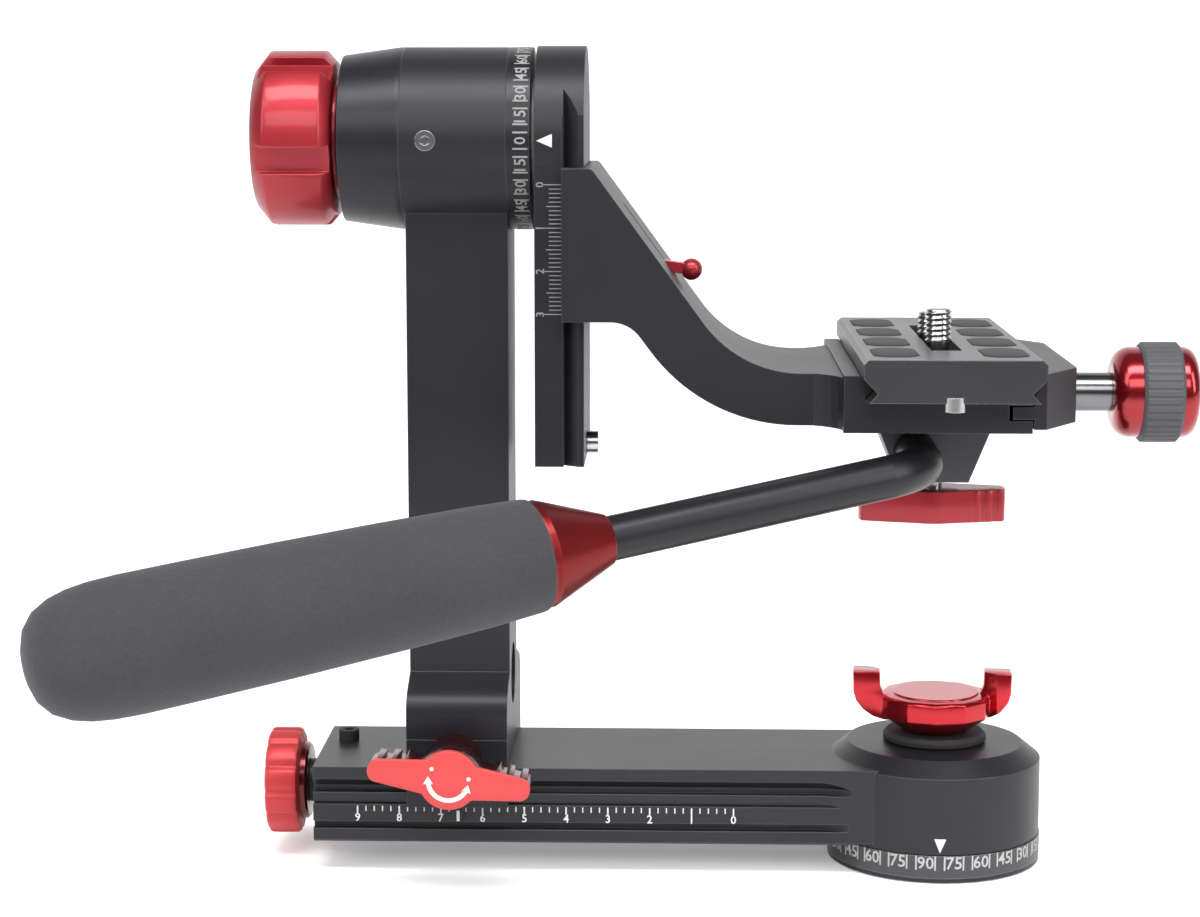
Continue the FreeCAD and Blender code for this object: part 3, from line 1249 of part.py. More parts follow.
def check_model():
    """Stops on a feature that failed, a cut that cut nothing, or a node that isn't sound."""
    faults = []
    for item in doc.Objects:
        if {"Invalid", "Error"} & set(item.State):
            faults.append(f"{item.Label} ({item.Name}): {item.State}")
    for body in parts:
        if body.Shape.isNull() or not body.Shape.isValid() or not body.Shape.Solids:
            faults.append(f"{body.Label}: no sound solid")
        before = 0
        for feature in body.Group:
            if not feature.isDerivedFrom("PartDesign::Feature"):
                continue
            if feature.Shape.isNull():
                faults.append(f"{body.Label}: {feature.Name} is empty")
                continue
            volume = feature.Shape.Volume
            cuts = feature.TypeId in ("PartDesign::Pocket", "PartDesign::Groove")
            if cuts and volume >= before - 1e-6:
                faults.append(f"{body.Label}: {feature.Name} cuts nothing")
            before = volume
    if faults:
        raise RuntimeError("\n".join(faults))


def export_parts():
    """Writes each node to its own file."""
    os.makedirs("parts", exist_ok=True)
    for body in parts:
        body.Shape.exportStep(f"parts/{body.Label}.step")


base_group()
arm_group()
pan_knob_group()
end_knob_group()
upright_group()
slide_knob_group()
hub_group()
tilt_knob_group()
rail_group()
cradle_group()
clamp_group()
plate_group()
handle_group()
doc.recompute()
check_model()
export_parts()
print(f"{len(parts)} nodes")
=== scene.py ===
"""Looks of the gimbal tripod head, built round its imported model. Metres, +Z up."""
import math

import bmesh
import bpy
from mathutils import Matrix, Vector


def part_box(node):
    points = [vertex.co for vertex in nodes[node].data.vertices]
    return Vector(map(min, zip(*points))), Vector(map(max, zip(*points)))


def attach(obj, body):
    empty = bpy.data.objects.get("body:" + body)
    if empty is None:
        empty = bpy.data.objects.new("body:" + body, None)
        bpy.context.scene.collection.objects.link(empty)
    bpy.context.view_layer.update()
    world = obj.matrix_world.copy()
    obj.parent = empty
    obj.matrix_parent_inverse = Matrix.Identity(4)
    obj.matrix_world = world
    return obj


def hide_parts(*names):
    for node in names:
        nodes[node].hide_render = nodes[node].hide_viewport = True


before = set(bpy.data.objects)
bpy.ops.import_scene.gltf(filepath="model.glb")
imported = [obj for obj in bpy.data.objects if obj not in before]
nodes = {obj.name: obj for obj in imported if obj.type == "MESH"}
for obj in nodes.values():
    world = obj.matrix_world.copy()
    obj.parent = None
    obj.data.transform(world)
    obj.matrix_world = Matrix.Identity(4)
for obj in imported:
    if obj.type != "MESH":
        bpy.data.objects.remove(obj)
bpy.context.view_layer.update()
MM = 0.001


# The base: a turned disc of black anodised aluminium, screwed under the pan spindle, with brass and
# steel inside. The blasted or turned surface has a fine even grain and is lighter grey on its sharp
# edges.
class Wire:
    """One value in a finish. Arithmetic on it adds Math nodes."""

    def __init__(self, finish, socket):
        self.finish = finish
        self.socket = socket

    def maths(self, operation, first, second):
        return self.finish.node("ShaderNodeMath", {"operation": operation}, {0: first, 1: second})

    def __add__(self, other):
        return self.maths("ADD", self, other)

    def __radd__(self, other):
        return self.maths("ADD", other, self)

    def __sub__(self, other):
        return self.maths("SUBTRACT", self, other)

    def __mul__(self, other):
        return self.maths("MULTIPLY", self, other)


FLAT_COSINE = 0.995
EDGE_COSINE = 0.93
BEVEL_SAMPLES = 6


class Finish:
    """A material with one Principled shader."""

    def __init__(self, name, **fixed):
        self.material = bpy.data.materials.new(name)
        self.material.use_nodes = True
        self.tree = self.material.node_tree
        self.tree.nodes.clear()
        self.surface = self.tree.nodes.new("ShaderNodeBsdfPrincipled")
        out = self.tree.nodes.new("ShaderNodeOutputMaterial")
        self.tree.links.new(self.surface.outputs[0], out.inputs[0])
        for name, value in fixed.items():
            self.feed(self.surface.inputs[name.replace("_", " ")], value)

    def node(self, kind, settings=None, inputs=None, output=0):
        """Adds a node: its settings first, then the values or wires of its sockets."""
        added = self.tree.nodes.new(kind)
        for key, value in (settings or {}).items():
            setattr(added, key, value)
        for key, value in (inputs or {}).items():
            self.feed(added.inputs[key], value)
        return Wire(self, added.outputs[output])

    def feed(self, socket, value):
        if isinstance(value, Wire):
            self.tree.links.new(value.socket, socket)
        else:
            socket.default_value = value

    def paint(self, name, value):
        """Feeds one of the surface's own sockets."""
        self.feed(self.surface.inputs[name], value)

    def spot(self, stretch=(1, 1, 1)):
        """The piece's own coordinates, stretched."""
        here = self.node("ShaderNodeTexCoord", output=3)
        return self.node("ShaderNodeMapping", {"vector_type": "POINT"},
                         {"Vector": here, "Scale": stretch})

    def grain(self, scale, detail=2.0, stretch=(1, 1, 1)):
        """Noise between 0 and 1."""
        return self.node("ShaderNodeTexNoise", None,
                         {"Vector": self.spot(stretch), "Scale": scale, "Detail": detail})

    def mix(self, factor, first, second):
        """Blends two colours."""
        return self.node("ShaderNodeMix", {"data_type": "RGBA"},
                         {0: factor, 6: (*first, 1) if isinstance(first, tuple) else first,
                          7: (*second, 1) if isinstance(second, tuple) else second}, output=2)

    def relief(self, height, depth, edge_r):
        """A bump over softly rounded edges, fed to the surface's normal."""
        edge = self.node("ShaderNodeBevel", {"samples": BEVEL_SAMPLES}, {"Radius": edge_r})
        bump = self.node("ShaderNodeBump", None,
                         {"Height": height, "Distance": depth, "Strength": 1.0, "Normal": edge})
        self.paint("Normal", bump)

    def worn(self, radius):
        """1 on sharp edges, 0 on flats."""
        flat = self.node("ShaderNodeNewGeometry", output=1)
        soft = self.node("ShaderNodeBevel", {"samples": BEVEL_SAMPLES}, {"Radius": radius})
        turn = self.node("ShaderNodeVectorMath", {"operation": "DOT_PRODUCT"}, {0: flat, 1: soft},
                         output=1)
        return self.node("ShaderNodeMapRange", {"interpolation_type": "SMOOTHSTEP"},
                         {0: turn, 1: FLAT_COSINE, 2: EDGE_COSINE, 3: 0.0, 4: 1.0})


def anodised(name, dark, light, rough, metal=0.3, lines=None):
    """Anodised aluminium, blasted or with machining lines, given as (scale, stretch)."""
    finish = Finish(name, Metallic=metal, IOR=1.45)
    fine = finish.grain(scale=2600, detail=3)
    cloud = finish.grain(scale=38)
    edge = finish.worn(0.4 * MM)
    shade = finish.mix(cloud * 0.6 + fine * 0.4, dark, light)
    rim = tuple(channel * 3.0 + 0.02 for channel in light)
    # Sharp edges are mixed towards a lighter grey.
    shade = finish.mix(edge * 0.5, shade, rim)
    height = fine
    if lines:
        milled = finish.grain(scale=lines[0], stretch=lines[1])
        height = fine * 0.3 + milled * 0.9
    finish.paint("Base Color", shade)
    finish.paint("Roughness", rough - 0.05 + cloud * 0.06 + height * 0.06 - edge * 0.08)
    finish.relief(height, 0.012 * MM, 0.35 * MM)
    return finish.material


def bare_metal(name, dark, light, rough):
    """Turned bare metal."""
    finish = Finish(name, Metallic=1.0)
    fine = finish.grain(scale=1500, detail=3)
    finish.paint("Base Color", finish.mix(finish.grain(scale=120), dark, light))
    finish.paint("Roughness", rough + fine * 0.12)
    finish.relief(fine, 0.005 * MM, 0.2 * MM)
    return finish.material


def moulded(name, dark, light, rough, depth):
    """Matt rubber, plastic or ink with a fine grain."""
    finish = Finish(name, IOR=1.45)
    fine = finish.grain(scale=2200, detail=4)
    cloud = finish.grain(scale=60)
    finish.paint("Base Color", finish.mix(cloud * 0.5 + fine * 0.5, dark, light))
    finish.paint("Roughness", rough + fine * 0.15)
    finish.relief(fine, depth, 0.25 * MM)
    return finish.material


def dress(material, *names):
    """Gives CAD nodes a finish."""
    for name in names:
        for slot in nodes[name].material_slots:
            slot.material = material


TURNED_UPRIGHT = (900, (0.05, 0.05, 6))
TURNED_LEVEL = (900, (6, 0.04, 0.04))
black = anodised("black_blasted", (0.0115, 0.011, 0.0145), (0.018, 0.0175, 0.022), rough=0.42)
black_turned = anodised("black_turned", (0.012, 0.0115, 0.0145), (0.02, 0.0195, 0.0235), rough=0.34,
                        metal=0.4, lines=TURNED_LEVEL)
black_round = anodised("black_round", (0.015, 0.0145, 0.018), (0.024, 0.0235, 0.0275), rough=0.36,
                       metal=0.4, lines=TURNED_UPRIGHT)
steel = bare_metal("steel", (0.42, 0.42, 0.43), (0.6, 0.6, 0.61), rough=0.16)
brass = bare_metal("brass", (0.55, 0.4, 0.17), (0.66, 0.5, 0.22), rough=0.25)
white_plastic = moulded("white_plastic", (0.68, 0.67, 0.63), (0.75, 0.74, 0.7), rough=0.4,
                        depth=0.01 * MM)
ring_black = anodised("black_ring", (0.05, 0.0495, 0.054), (0.07, 0.069, 0.075), rough=0.36,
                      metal=0.4, lines=TURNED_UPRIGHT)
dress(black_round, "base_disc")
dress(ring_black, "pan_degree_ring")
dress(steel, "pan_spindle", "base_screws")
dress(brass, "tripod_thread_insert")
dress(white_plastic, "pan_thrust_washer")


# The base's degree scale: figures and lines laser-marked in pale grey round the ring, every 15
# degrees from 0 up to 90 and back, twice round. Each figure stands between two lines.
def finished(name, mesh, material, body, *replaced, slot=None):
    """Makes a piece of a bmesh, lets it ride on a body and hides the parts it stands in for."""
    bmesh.ops.recalc_face_normals(mesh, faces=mesh.faces)
    data = bpy.data.meshes.new(name)
    mesh.to_mesh(data)
    mesh.free()
    data.materials.append(material)
    piece = bpy.data.objects.new(name, data)
    bpy.context.scene.collection.objects.link(piece)
    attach(piece, body)
    if replaced:
        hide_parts(*replaced)
    return piece


INK = 0.05 * MM
FIGURE_WEIGHT = 0.012


def figure(mesh, text, height, spot, turn=0):
    """Adds flat figures that face +Z, centred on a spot, INK proud and INK deep."""
    curve = bpy.data.curves.new("figure", "FONT")
    curve.body = text
    curve.resolution_u = 2
    curve.extrude = 1.0
    curve.offset = FIGURE_WEIGHT
    holder = bpy.data.objects.new("figure", curve)
    bpy.context.scene.collection.objects.link(holder)
    drawn = holder.evaluated_get(bpy.context.evaluated_depsgraph_get())
    flat = bpy.data.meshes.new_from_object(drawn)
    bpy.data.objects.remove(holder)
    letters = bmesh.new()
    letters.from_mesh(flat)
    bmesh.ops.remove_doubles(letters, verts=letters.verts, dist=1e-5)
    low = Vector([min(v.co[i] for v in letters.verts) for i in range(3)])
    high = Vector([max(v.co[i] for v in letters.verts) for i in range(3)])
    size = height / (high.y - low.y)
    place = (Matrix.Translation((*spot, 0)) @ Matrix.Rotation(math.radians(turn), 4, "Z")
             @ Matrix.Diagonal((size, size, INK, 1)) @ Matrix.Translation(-(low + high) / 2))
    bmesh.ops.transform(letters, matrix=place, verts=letters.verts)
    letters.to_mesh(flat)
    letters.free()
    mesh.from_mesh(flat)
    bpy.data.meshes.remove(flat)


def mark(mesh, spot, width, height):
    """Adds a flat line or block that faces +Z, INK proud and INK deep."""
    place = Matrix.Translation((*spot, 0)) @ Matrix.Diagonal((width, height, 2 * INK, 1))
    bmesh.ops.create_cube(mesh, size=1, matrix=place)


def arrow(mesh, spot, length, width, turn):
    """Adds a flat solid arrowhead that faces +Z; at turn 0 it points up.

    It starts as an even triangle in a circle of radius 1, which is sqrt(3) wide and 1.5 long.
    """
    place = (Matrix.Translation((*spot, 0)) @ Matrix.Rotation(math.radians(turn), 4, "Z")
             @ Matrix.Diagonal((width / math.sqrt(3), length / 1.5, 1, 1))
             @ Matrix.Translation((0, -0.25, 0)))
    bmesh.ops.create_cone(mesh, cap_ends=True, segments=3, radius1=1, radius2=1, depth=2 * INK,
                          matrix=place)


def onto_post(mesh, radius):
    """Wraps flat marks round an upright post on the pan axis: X goes round it, Y is the height."""
    for vert in mesh.verts:
        x, y, out = vert.co
        vert.co = (math.sin(x / radius) * (radius + out), -math.cos(x / radius) * (radius + out), y)


white_ink = moulded("white_ink", (0.62, 0.62, 0.6), (0.8, 0.8, 0.78), rough=0.55, depth=0.01 * MM)
soft_ink = moulded("soft_ink", (0.36, 0.36, 0.35), (0.48, 0.48, 0.47), rough=0.55, depth=0.01 * MM)
grey_ink = moulded("grey_ink", (0.2, 0.2, 0.2), (0.3, 0.3, 0.3), rough=0.55, depth=0.01 * MM)
RING_R = 25.8 * MM
RING_FIGURES_Z = 4.8 * MM
RING_LINES_Z = 4.75 * MM
LABELS_FROM = -9
LABEL_STEP = 15
LABELS_ROUND = 360 // LABEL_STEP
LABELS_HALF = LABELS_ROUND // 2
LINE_ASIDE = math.radians(5)
LINE_LONG = 3.5 * MM
LINE_WIDE = 0.42 * MM
scale = bmesh.new()
for k in range(LABELS_ROUND):
    around = math.radians(LABELS_FROM + LABEL_STEP * k) * RING_R
    figure(scale, str(abs(90 - LABEL_STEP * (k % LABELS_HALF))), 3.0 * MM, (around, RING_FIGURES_Z))
    for side in (-1, 1):
        mark(scale, (around + side * LINE_ASIDE * RING_R, RING_LINES_Z), LINE_WIDE, LINE_LONG)
onto_post(scale, RING_R)
finished("pan_ring_marks", scale, soft_ink, "base")


# The arm: a long bar of black anodised aluminium with a round housing for the pan bearing at one end,
# milled in one piece. Its top is drawn along its length; grooves run down both its sides.
DRAWN_LEVEL = (700, (0.02, 3, 3))
beam = anodised("black_drawn", (0.016, 0.0155, 0.019), (0.028, 0.0275, 0.031), rough=0.36, metal=0.4,
                lines=DRAWN_LEVEL)
dress(beam, "pan_arm")
dress(black, "end_collar")
dress(brass, "pan_bush", "lead_screw_bush")
dark_rubber = moulded("dark_rubber", (0.012, 0.011, 0.012), (0.02, 0.019, 0.02), rough=0.65,
                      depth=0.03 * MM)
dress(dark_rubber, "pan_friction_washer", "pan_pressure_plate", "arm_stop_stud")

HOUSING_R = 25.6 * MM
POINTER_AROUND = math.radians(-1.5)
POINTER_Z = 8.9 * MM
pointer = bmesh.new()
arrow(pointer, (POINTER_AROUND * HOUSING_R, POINTER_Z), length=3.4 * MM, width=2.8 * MM, turn=180)
onto_post(pointer, HOUSING_R)
finished("pan_pointer", pointer, white_ink, "pan_arm")


# The arm's scale: white lines every 2 mm on its front side, with a longer one and a figure every 10.
def onto_front(mesh, face_y):
    """Stands flat marks upright on a face that looks to -Y."""
    for vert in mesh.verts:
        x, y, out = vert.co
        vert.co = (x, face_y - out, y)


ARM_FACE = -20 * MM
SCALE_ZERO = -49.4 * MM
SCALE_STEP = 2 * MM
SCALE_LINES = 46
SCALE_TOP_Z = 16.1 * MM
SCALE_FIGURES_Z = 13.3 * MM
scale = bmesh.new()
for k in range(SCALE_LINES):
    x = SCALE_ZERO - k * SCALE_STEP
    long = k % 5 == 0
    width, length = (0.36 * MM, 1.9 * MM) if long else (0.28 * MM, 1.3 * MM)
    mark(scale, (x, SCALE_TOP_Z - length / 2), width, length)
    if long:
        figure(scale, str(k // 5), 2.0 * MM, (x, SCALE_FIGURES_Z))
onto_front(scale, ARM_FACE)
finished("arm_scale", scale, white_ink, "pan_arm")


# The pan knob: red anodised aluminium, a twelve-sided disc with two upturned horns, milled from one
# block and bright-dyed, so that its facets mirror the studio.
def red_metal(name, dark, light, rough, metal, coat=0.35):
    """Red anodised aluminium with fine machining marks."""
    finish = Finish(name, Metallic=metal, IOR=1.5, Coat_Roughness=0.12)
    finish.surface.inputs["Coat Weight"].default_value = coat
    cloud = finish.grain(scale=55)
    fine = finish.grain(scale=1800)
    edge = finish.worn(0.45 * MM)
    # Sharp edges are mixed towards a paler red.
    finish.paint("Base Color", finish.mix(edge * 0.35, finish.mix(cloud, dark, light),
                                          (0.72, 0.14, 0.15)))
    finish.paint("Roughness", rough + cloud * 0.05 + fine * 0.05 - edge * 0.06)
    finish.relief(fine, 0.006 * MM, 0.35 * MM)
    return finish.material


def stack(mesh, sides, sections):
    """Grows a solid upwards through many-sided (radius, height) sections."""
    made = bmesh.ops.create_circle(mesh, cap_ends=True, segments=sides, radius=1)
    verts = made["verts"]
    face = verts[0].link_faces[0]
    for level, (radius, height) in enumerate(sections):
        if level:
            grown = bmesh.ops.extrude_face_region(mesh, geom=[face])["geom"]
            old = face
            face = next(part for part in grown if isinstance(part, bmesh.types.BMFace))
            verts = [part for part in grown if isinstance(part, bmesh.types.BMVert)]
            if old.is_valid:
                bmesh.ops.delete(mesh, geom=[old], context="FACES_ONLY")
        now = verts[0].co
        size = radius / math.hypot(now.x, now.y)
        bmesh.ops.scale(mesh, verts=verts, vec=(size, size, 1))
        bmesh.ops.translate(mesh, verts=verts, vec=(0, 0, height - verts[0].co.z))


def ease(mesh, width, limit=25):
    """Rounds every edge that is sharper than the limit, in degrees."""
    sharp = [edge for edge in mesh.edges
             if edge.is_manifold and edge.calc_face_angle() > math.radians(limit)]
    bmesh.ops.bevel(mesh, geom=sharp, offset=width, segments=2, profile=0.5, affect="EDGES",
                    clamp_overlap=True, material=-1)


def smooth(piece, angle=35):
    """Shades a piece smooth but for its sharp edges."""
    for face in piece.data.polygons:
        face.use_smooth = True
    piece.data.set_sharp_from_angle(angle=math.radians(angle))
    return piece


def join(mesh, part):
    """Adds one bmesh to another and frees it."""
    spare = bpy.data.meshes.new("spare")
    part.to_mesh(spare)
    part.free()
    mesh.from_mesh(spare)
    bpy.data.meshes.remove(spare)


red = red_metal("red_anodised", (0.28, 0.010, 0.018), (0.35, 0.017, 0.027), rough=0.4, metal=0.6)
red_bright = red_metal("red_bright", (0.4, 0.008, 0.016), (0.48, 0.014, 0.024), rough=0.17, metal=0.85)
PAN_KNOB_Z = 31.3 * MM
PAN_KNOB_TURN = math.radians(-3.6)
PAN_KNOB_SIDES = 12
knob = bmesh.new()
stack(knob, PAN_KNOB_SIDES, [(8 * MM, 0), (13.7 * MM, 3.9 * MM), (13.7 * MM, 8.2 * MM),
                             (13 * MM, 8.9 * MM)])
ease(knob, 0.3 * MM)
button = bmesh.new()
stack(button, 64, [(10.4 * MM, 6 * MM), (10.4 * MM, 9.1 * MM), (10.2 * MM, 9.3 * MM)])
join(knob, button)
HORN = [(8, 2.4), (12.4, 2.6), (15.0, 3.4), (17.4, 5.0), (19.2, 7.2), (19.9, 9.6), (20, 14.4),
        (13.5, 14.4), (13.4, 11.0), (12.8, 9.2), (11.6, 8.2), (8, 7.6)]
HORN_HALF = 3.5 * MM
HORN_SHORT = 1.7
HORN_CUT_X = 13.6
HORN_CUT_Y = -1.2
HORN_CUT_WAY = (-0.62, -0.78, 0)
for side in (1, -1):
    horn = bmesh.new()
    inward = HORN_SHORT if side > 0 else 0
    corners = [horn.verts.new(((x - inward) * MM, -HORN_HALF, z * MM)) for x, z in HORN]
    outline = horn.faces.new(corners)
    grown = bmesh.ops.extrude_face_region(horn, geom=[outline])["geom"]
    bmesh.ops.translate(horn, verts=[part for part in grown if isinstance(part, bmesh.types.BMVert)],
                        vec=(0, 2 * HORN_HALF, 0))
    bmesh.ops.recalc_face_normals(horn, faces=horn.faces)
    cut = bmesh.ops.bisect_plane(horn, geom=horn.verts[:] + horn.edges[:] + horn.faces[:],
                                 plane_co=((HORN_CUT_X - inward) * MM, HORN_CUT_Y * MM, 0),
                                 plane_no=HORN_CUT_WAY, clear_outer=True)
    bmesh.ops.holes_fill(horn, edges=[part for part in cut["geom_cut"]
                                      if isinstance(part, bmesh.types.BMEdge)])
    ease(horn, 0.5 * MM)
    if side < 0:
        bmesh.ops.rotate(horn, verts=horn.verts, matrix=Matrix.Rotation(math.pi, 3, "Z"))
    join(knob, horn)
bmesh.ops.transform(knob, verts=knob.verts, matrix=Matrix.Translation((0, 0, PAN_KNOB_Z))
                    @ Matrix.Rotation(PAN_KNOB_TURN, 4, "Z"))
smooth(finished("pan_knob_horned", knob, red_bright, "pan_knob", "pan_lock_knob",
                slot="red_anodised"))
dress(brass, "pan_knob_nut")


# The lead screw, its bush in the arm's end and the fluted knob that turns it: red anodised, with
# twelve shallow flutes milled along it and a polished collar towards the arm in red painted darker as
# shade.
END_LOBES = 12
END_CREASE = 0.055
CREASE_SHARP = 10
END_SPOT = Vector((-163.1, 0, 17)) * MM
knob = bmesh.new()
stack(knob, 16 * END_LOBES, [(11.9 * MM, 0), (12.7 * MM, 0.4 * MM), (12.9 * MM, 1.0 * MM),
                             (12.9 * MM, 6.9 * MM), (12.5 * MM, 7.6 * MM), (10.2 * MM, 8.1 * MM)])
for vert in knob.verts:
    crease = abs(math.cos(math.atan2(vert.co.y, vert.co.x) * END_LOBES / 2)) ** CREASE_SHARP
    vert.co.x *= 1 - END_CREASE * crease
    vert.co.y *= 1 - END_CREASE * crease
along_x = Matrix.Rotation(math.pi / 2, 4, "Y")
bmesh.ops.transform(knob, verts=knob.verts, matrix=Matrix.Translation(END_SPOT) @ along_x)
red_matt = red_metal("red_matt", (0.42, 0.025, 0.03), (0.5, 0.035, 0.04), rough=0.45, metal=0.4,
                     coat=0.1)
smooth(finished("end_knob_lobed", knob, red_matt, "lead_screw", "end_knob", slot="red_anodised"),
       angle=30)
knob = bmesh.new()
stack(knob, 64, [(9.4 * MM, 8.0 * MM), (9.4 * MM, 9.3 * MM), (8.8 * MM, 9.85 * MM)])
bmesh.ops.transform(knob, verts=knob.verts, matrix=Matrix.Translation(END_SPOT) @ along_x)
# The same red anodised, painted darker as shade, for the parts that sit in shadow.
red_shaded = red_metal("red_painted_shade", (0.07, 0.002, 0.005), (0.1, 0.003, 0.007), rough=0.2, metal=0.8)
smooth(finished("end_knob_collar", knob, red_shaded, "lead_screw", slot="red_anodised"))
dress(steel, "lead_screw")
dress(brass, "lead_nut")


# The carriage: the upright, which grips the arm, and its front jaw. Both are milled and bead-blasted.
# A white line on the jaw's tongue reads against the arm's scale.
dress(black, "upright", "front_jaw")
dress(steel, "foot_bolt")
UPRIGHT_X = -115.15 * MM
INDEX_Z = 14.2 * MM
TONGUE_FACE = -21.53 * MM
index = bmesh.new()
mark(index, (UPRIGHT_X, INDEX_Z), width=0.7 * MM, height=2.6 * MM)
onto_front(index, TONGUE_FACE)
finished("jaw_index", index, white_ink, "carriage")


# The slide's wing knob: a satin red face on a body with ribbed wings and a short collar, both in the
# same red painted darker as shade. The face carries a white two-headed arrow for loosening and
# tightening.
TIP_SHARE = 0.4


def winged(mesh, boss_r, tip, tip_round, low, high, join_angle, slim=0.0):
    """A flat round boss that runs out into two tapered wings, as a plate between two heights.

    The tip is (reach, half height); slim takes a little off each side of the wings.
    """
    made = bmesh.ops.create_circle(mesh, cap_ends=True, segments=144, radius=boss_r)
    shoulder = Vector((math.cos(join_angle) * boss_r, math.sin(join_angle) * boss_r - slim))
    corner = Vector((tip[0] - tip_round, tip[1] - slim))
    for vert in made["verts"]:
        part = math.atan2(abs(vert.co.y), abs(vert.co.x)) / join_angle
        if part < TIP_SHARE:
            turn = part / TIP_SHARE * math.pi / 2
            x, y = corner.x + tip_round * math.cos(turn), corner.y * math.sin(turn)
        elif part < 1:
            x, y = corner.lerp(shoulder, (part - TIP_SHARE) / (1 - TIP_SHARE))
        else:
            continue
        vert.co.x = math.copysign(x, vert.co.x)
        vert.co.y = math.copysign(y, vert.co.y)
    face = made["verts"][0].link_faces[0]
    bmesh.ops.translate(mesh, verts=made["verts"], vec=(0, 0, low))
    grown = bmesh.ops.extrude_face_region(mesh, geom=[face])["geom"]
    bmesh.ops.translate(mesh, verts=[part for part in grown if isinstance(part, bmesh.types.BMVert)],
                        vec=(0, 0, high - low))
    bmesh.ops.recalc_face_normals(mesh, faces=mesh.faces)


def rib(mesh, spot, size, turn=0.0):
    """Adds a bar with rounded edges."""
    bar = bmesh.new()
    bmesh.ops.create_cube(bar, size=1, matrix=Matrix.Translation(spot)
                          @ Matrix.Rotation(math.radians(turn), 4, "Z") @ Matrix.Diagonal((*size, 1)))
    ease(bar, 0.25 * MM)
    join(mesh, bar)


SLIDE_SPOT = Vector((-115.6, -31.53, 28.4)) * MM
SLIDE_THICK = 10.5 * MM
SLIDE_TILT = math.radians(7.5)
LIP = 1.4 * MM
to_face = (Matrix.Translation(SLIDE_SPOT) @ Matrix.Rotation(math.pi / 2, 4, "X")
           @ Matrix.Rotation(-SLIDE_TILT, 4, "Z"))
SLIDE_BOSS = 7 * MM
SLIDE_TIP = (19 * MM, 2.7 * MM)
SLIDE_ROUND = 2.3 * MM
SLIDE_JOIN = math.radians(35)
SLIDE_BODY = SLIDE_THICK - LIP
RIBS_AT = (-16.3, -12.9, -9.6, 10.6, 13.9, 17.1)
RIB_WIDE = 1.7 * MM
RIB_FLARE = 0.1185
knob = bmesh.new()
winged(knob, SLIDE_BOSS, SLIDE_TIP, SLIDE_ROUND, 0, SLIDE_BODY, SLIDE_JOIN, slim=1.0 * MM)
ease(knob, 0.25 * MM, limit=40)
for reach in RIBS_AT:
    flare = (SLIDE_TIP[0] - SLIDE_ROUND - abs(reach) * MM) * RIB_FLARE
    rib(knob, (reach * MM, 0, SLIDE_BODY / 2), (RIB_WIDE, 2 * (SLIDE_TIP[1] + flare), SLIDE_BODY))
bmesh.ops.transform(knob, matrix=to_face, verts=knob.verts)
smooth(finished("slide_knob_wings", knob, red_shaded, "slide_knob", "slide_wing_knob",
                slot="red_anodised"))
red_face = red_metal("red_satin", (0.58, 0.05, 0.05), (0.64, 0.065, 0.065), rough=0.5, metal=0.25,
                     coat=0.1)
knob = bmesh.new()
winged(knob, SLIDE_BOSS, SLIDE_TIP, SLIDE_ROUND, SLIDE_BODY, SLIDE_THICK, SLIDE_JOIN)
ease(knob, 0.3 * MM, limit=40)
bmesh.ops.transform(knob, matrix=to_face, verts=knob.verts)
smooth(finished("slide_knob_face", knob, red_face, "slide_knob", slot="red_anodised"))
dress(red_shaded, "slide_collar")
dress(steel, "slide_knob_stud")

ARC_R = 4.7 * MM
ARC_HALF = 0.55 * MM
ARC_FROM = 197
ARC_SWEEP = math.radians(136)
HEADS_AT = ((186, 8), (344, -6))
DOTS_AT = (152, 12)
DOT_R = 0.5 * MM


def on_arc(angle, radius=ARC_R):
    """A flat spot on the arrow's arc, at an angle in degrees."""
    return radius * math.cos(math.radians(angle)), radius * math.sin(math.radians(angle))


arrows = bmesh.new()
strip = [arrows.verts.new((*on_arc(ARC_FROM, ARC_R + wide), out))
         for wide, out in ((-ARC_HALF, -INK), (ARC_HALF, -INK), (ARC_HALF, INK), (-ARC_HALF, INK))]
strip_face = arrows.faces.new(strip)
bmesh.ops.spin(arrows, geom=[strip_face] + strip_face.edges[:], axis=(0, 0, 1), cent=(0, 0, 0),
               angle=ARC_SWEEP, steps=30, use_duplicate=False)
for angle, turn in HEADS_AT:
    arrow(arrows, on_arc(angle), length=1.9 * MM, width=2.3 * MM, turn=turn)
for angle in DOTS_AT:
    bmesh.ops.create_cone(arrows, cap_ends=True, segments=20, radius1=DOT_R, radius2=DOT_R,
                          depth=2 * INK, matrix=Matrix.Translation((*on_arc(angle), 0)))
bmesh.ops.transform(arrows, verts=arrows.verts,
                    matrix=to_face @ Matrix.Translation((0, 0, SLIDE_THICK)))
finished("slide_knob_arrow", arrows, white_ink, "slide_knob")


# The tilt hub: a turned cap and degree ring on the upright's barrel, black anodised, with a steel set
# screw. The ring's grey figures run from 0 at the front to 90 and back, each turned on its side.
def onto_barrel(mesh, radius, height):
    """Wraps flat marks round a level barrel along X: Y goes round it."""
    for vert in mesh.verts:
        x, y, out = vert.co
        reach = radius + out
        vert.co = (x, -math.cos(y / radius) * reach, height + math.sin(y / radius) * reach)


HUB_Z = 174.4 * MM
HUB_R = 21.5 * MM
HUB_FIGURES_X = -99.75 * MM
HUB_LINES_X = -99.7 * MM
dress(black_turned, "hub_cap", "hub_degree_ring")
dress(steel, "hub_set_screw", "hub_bearings", "tilt_shaft")
dress(white_plastic, "tilt_thrust_washers")
scale = bmesh.new()
for k in range(LABELS_ROUND):
    around = math.radians(LABEL_STEP * k) * HUB_R
    label = 90 - abs(90 - LABEL_STEP * (k % LABELS_HALF))
    figure(scale, str(label), 2.7 * MM, (HUB_FIGURES_X, around), turn=90)
    for side in (-1, 1):
        mark(scale, (HUB_LINES_X, around + side * LINE_ASIDE * HUB_R), LINE_LONG, LINE_WIDE)
onto_barrel(scale, HUB_R, HUB_Z)
finished("hub_ring_marks", scale, grey_ink, "carriage")


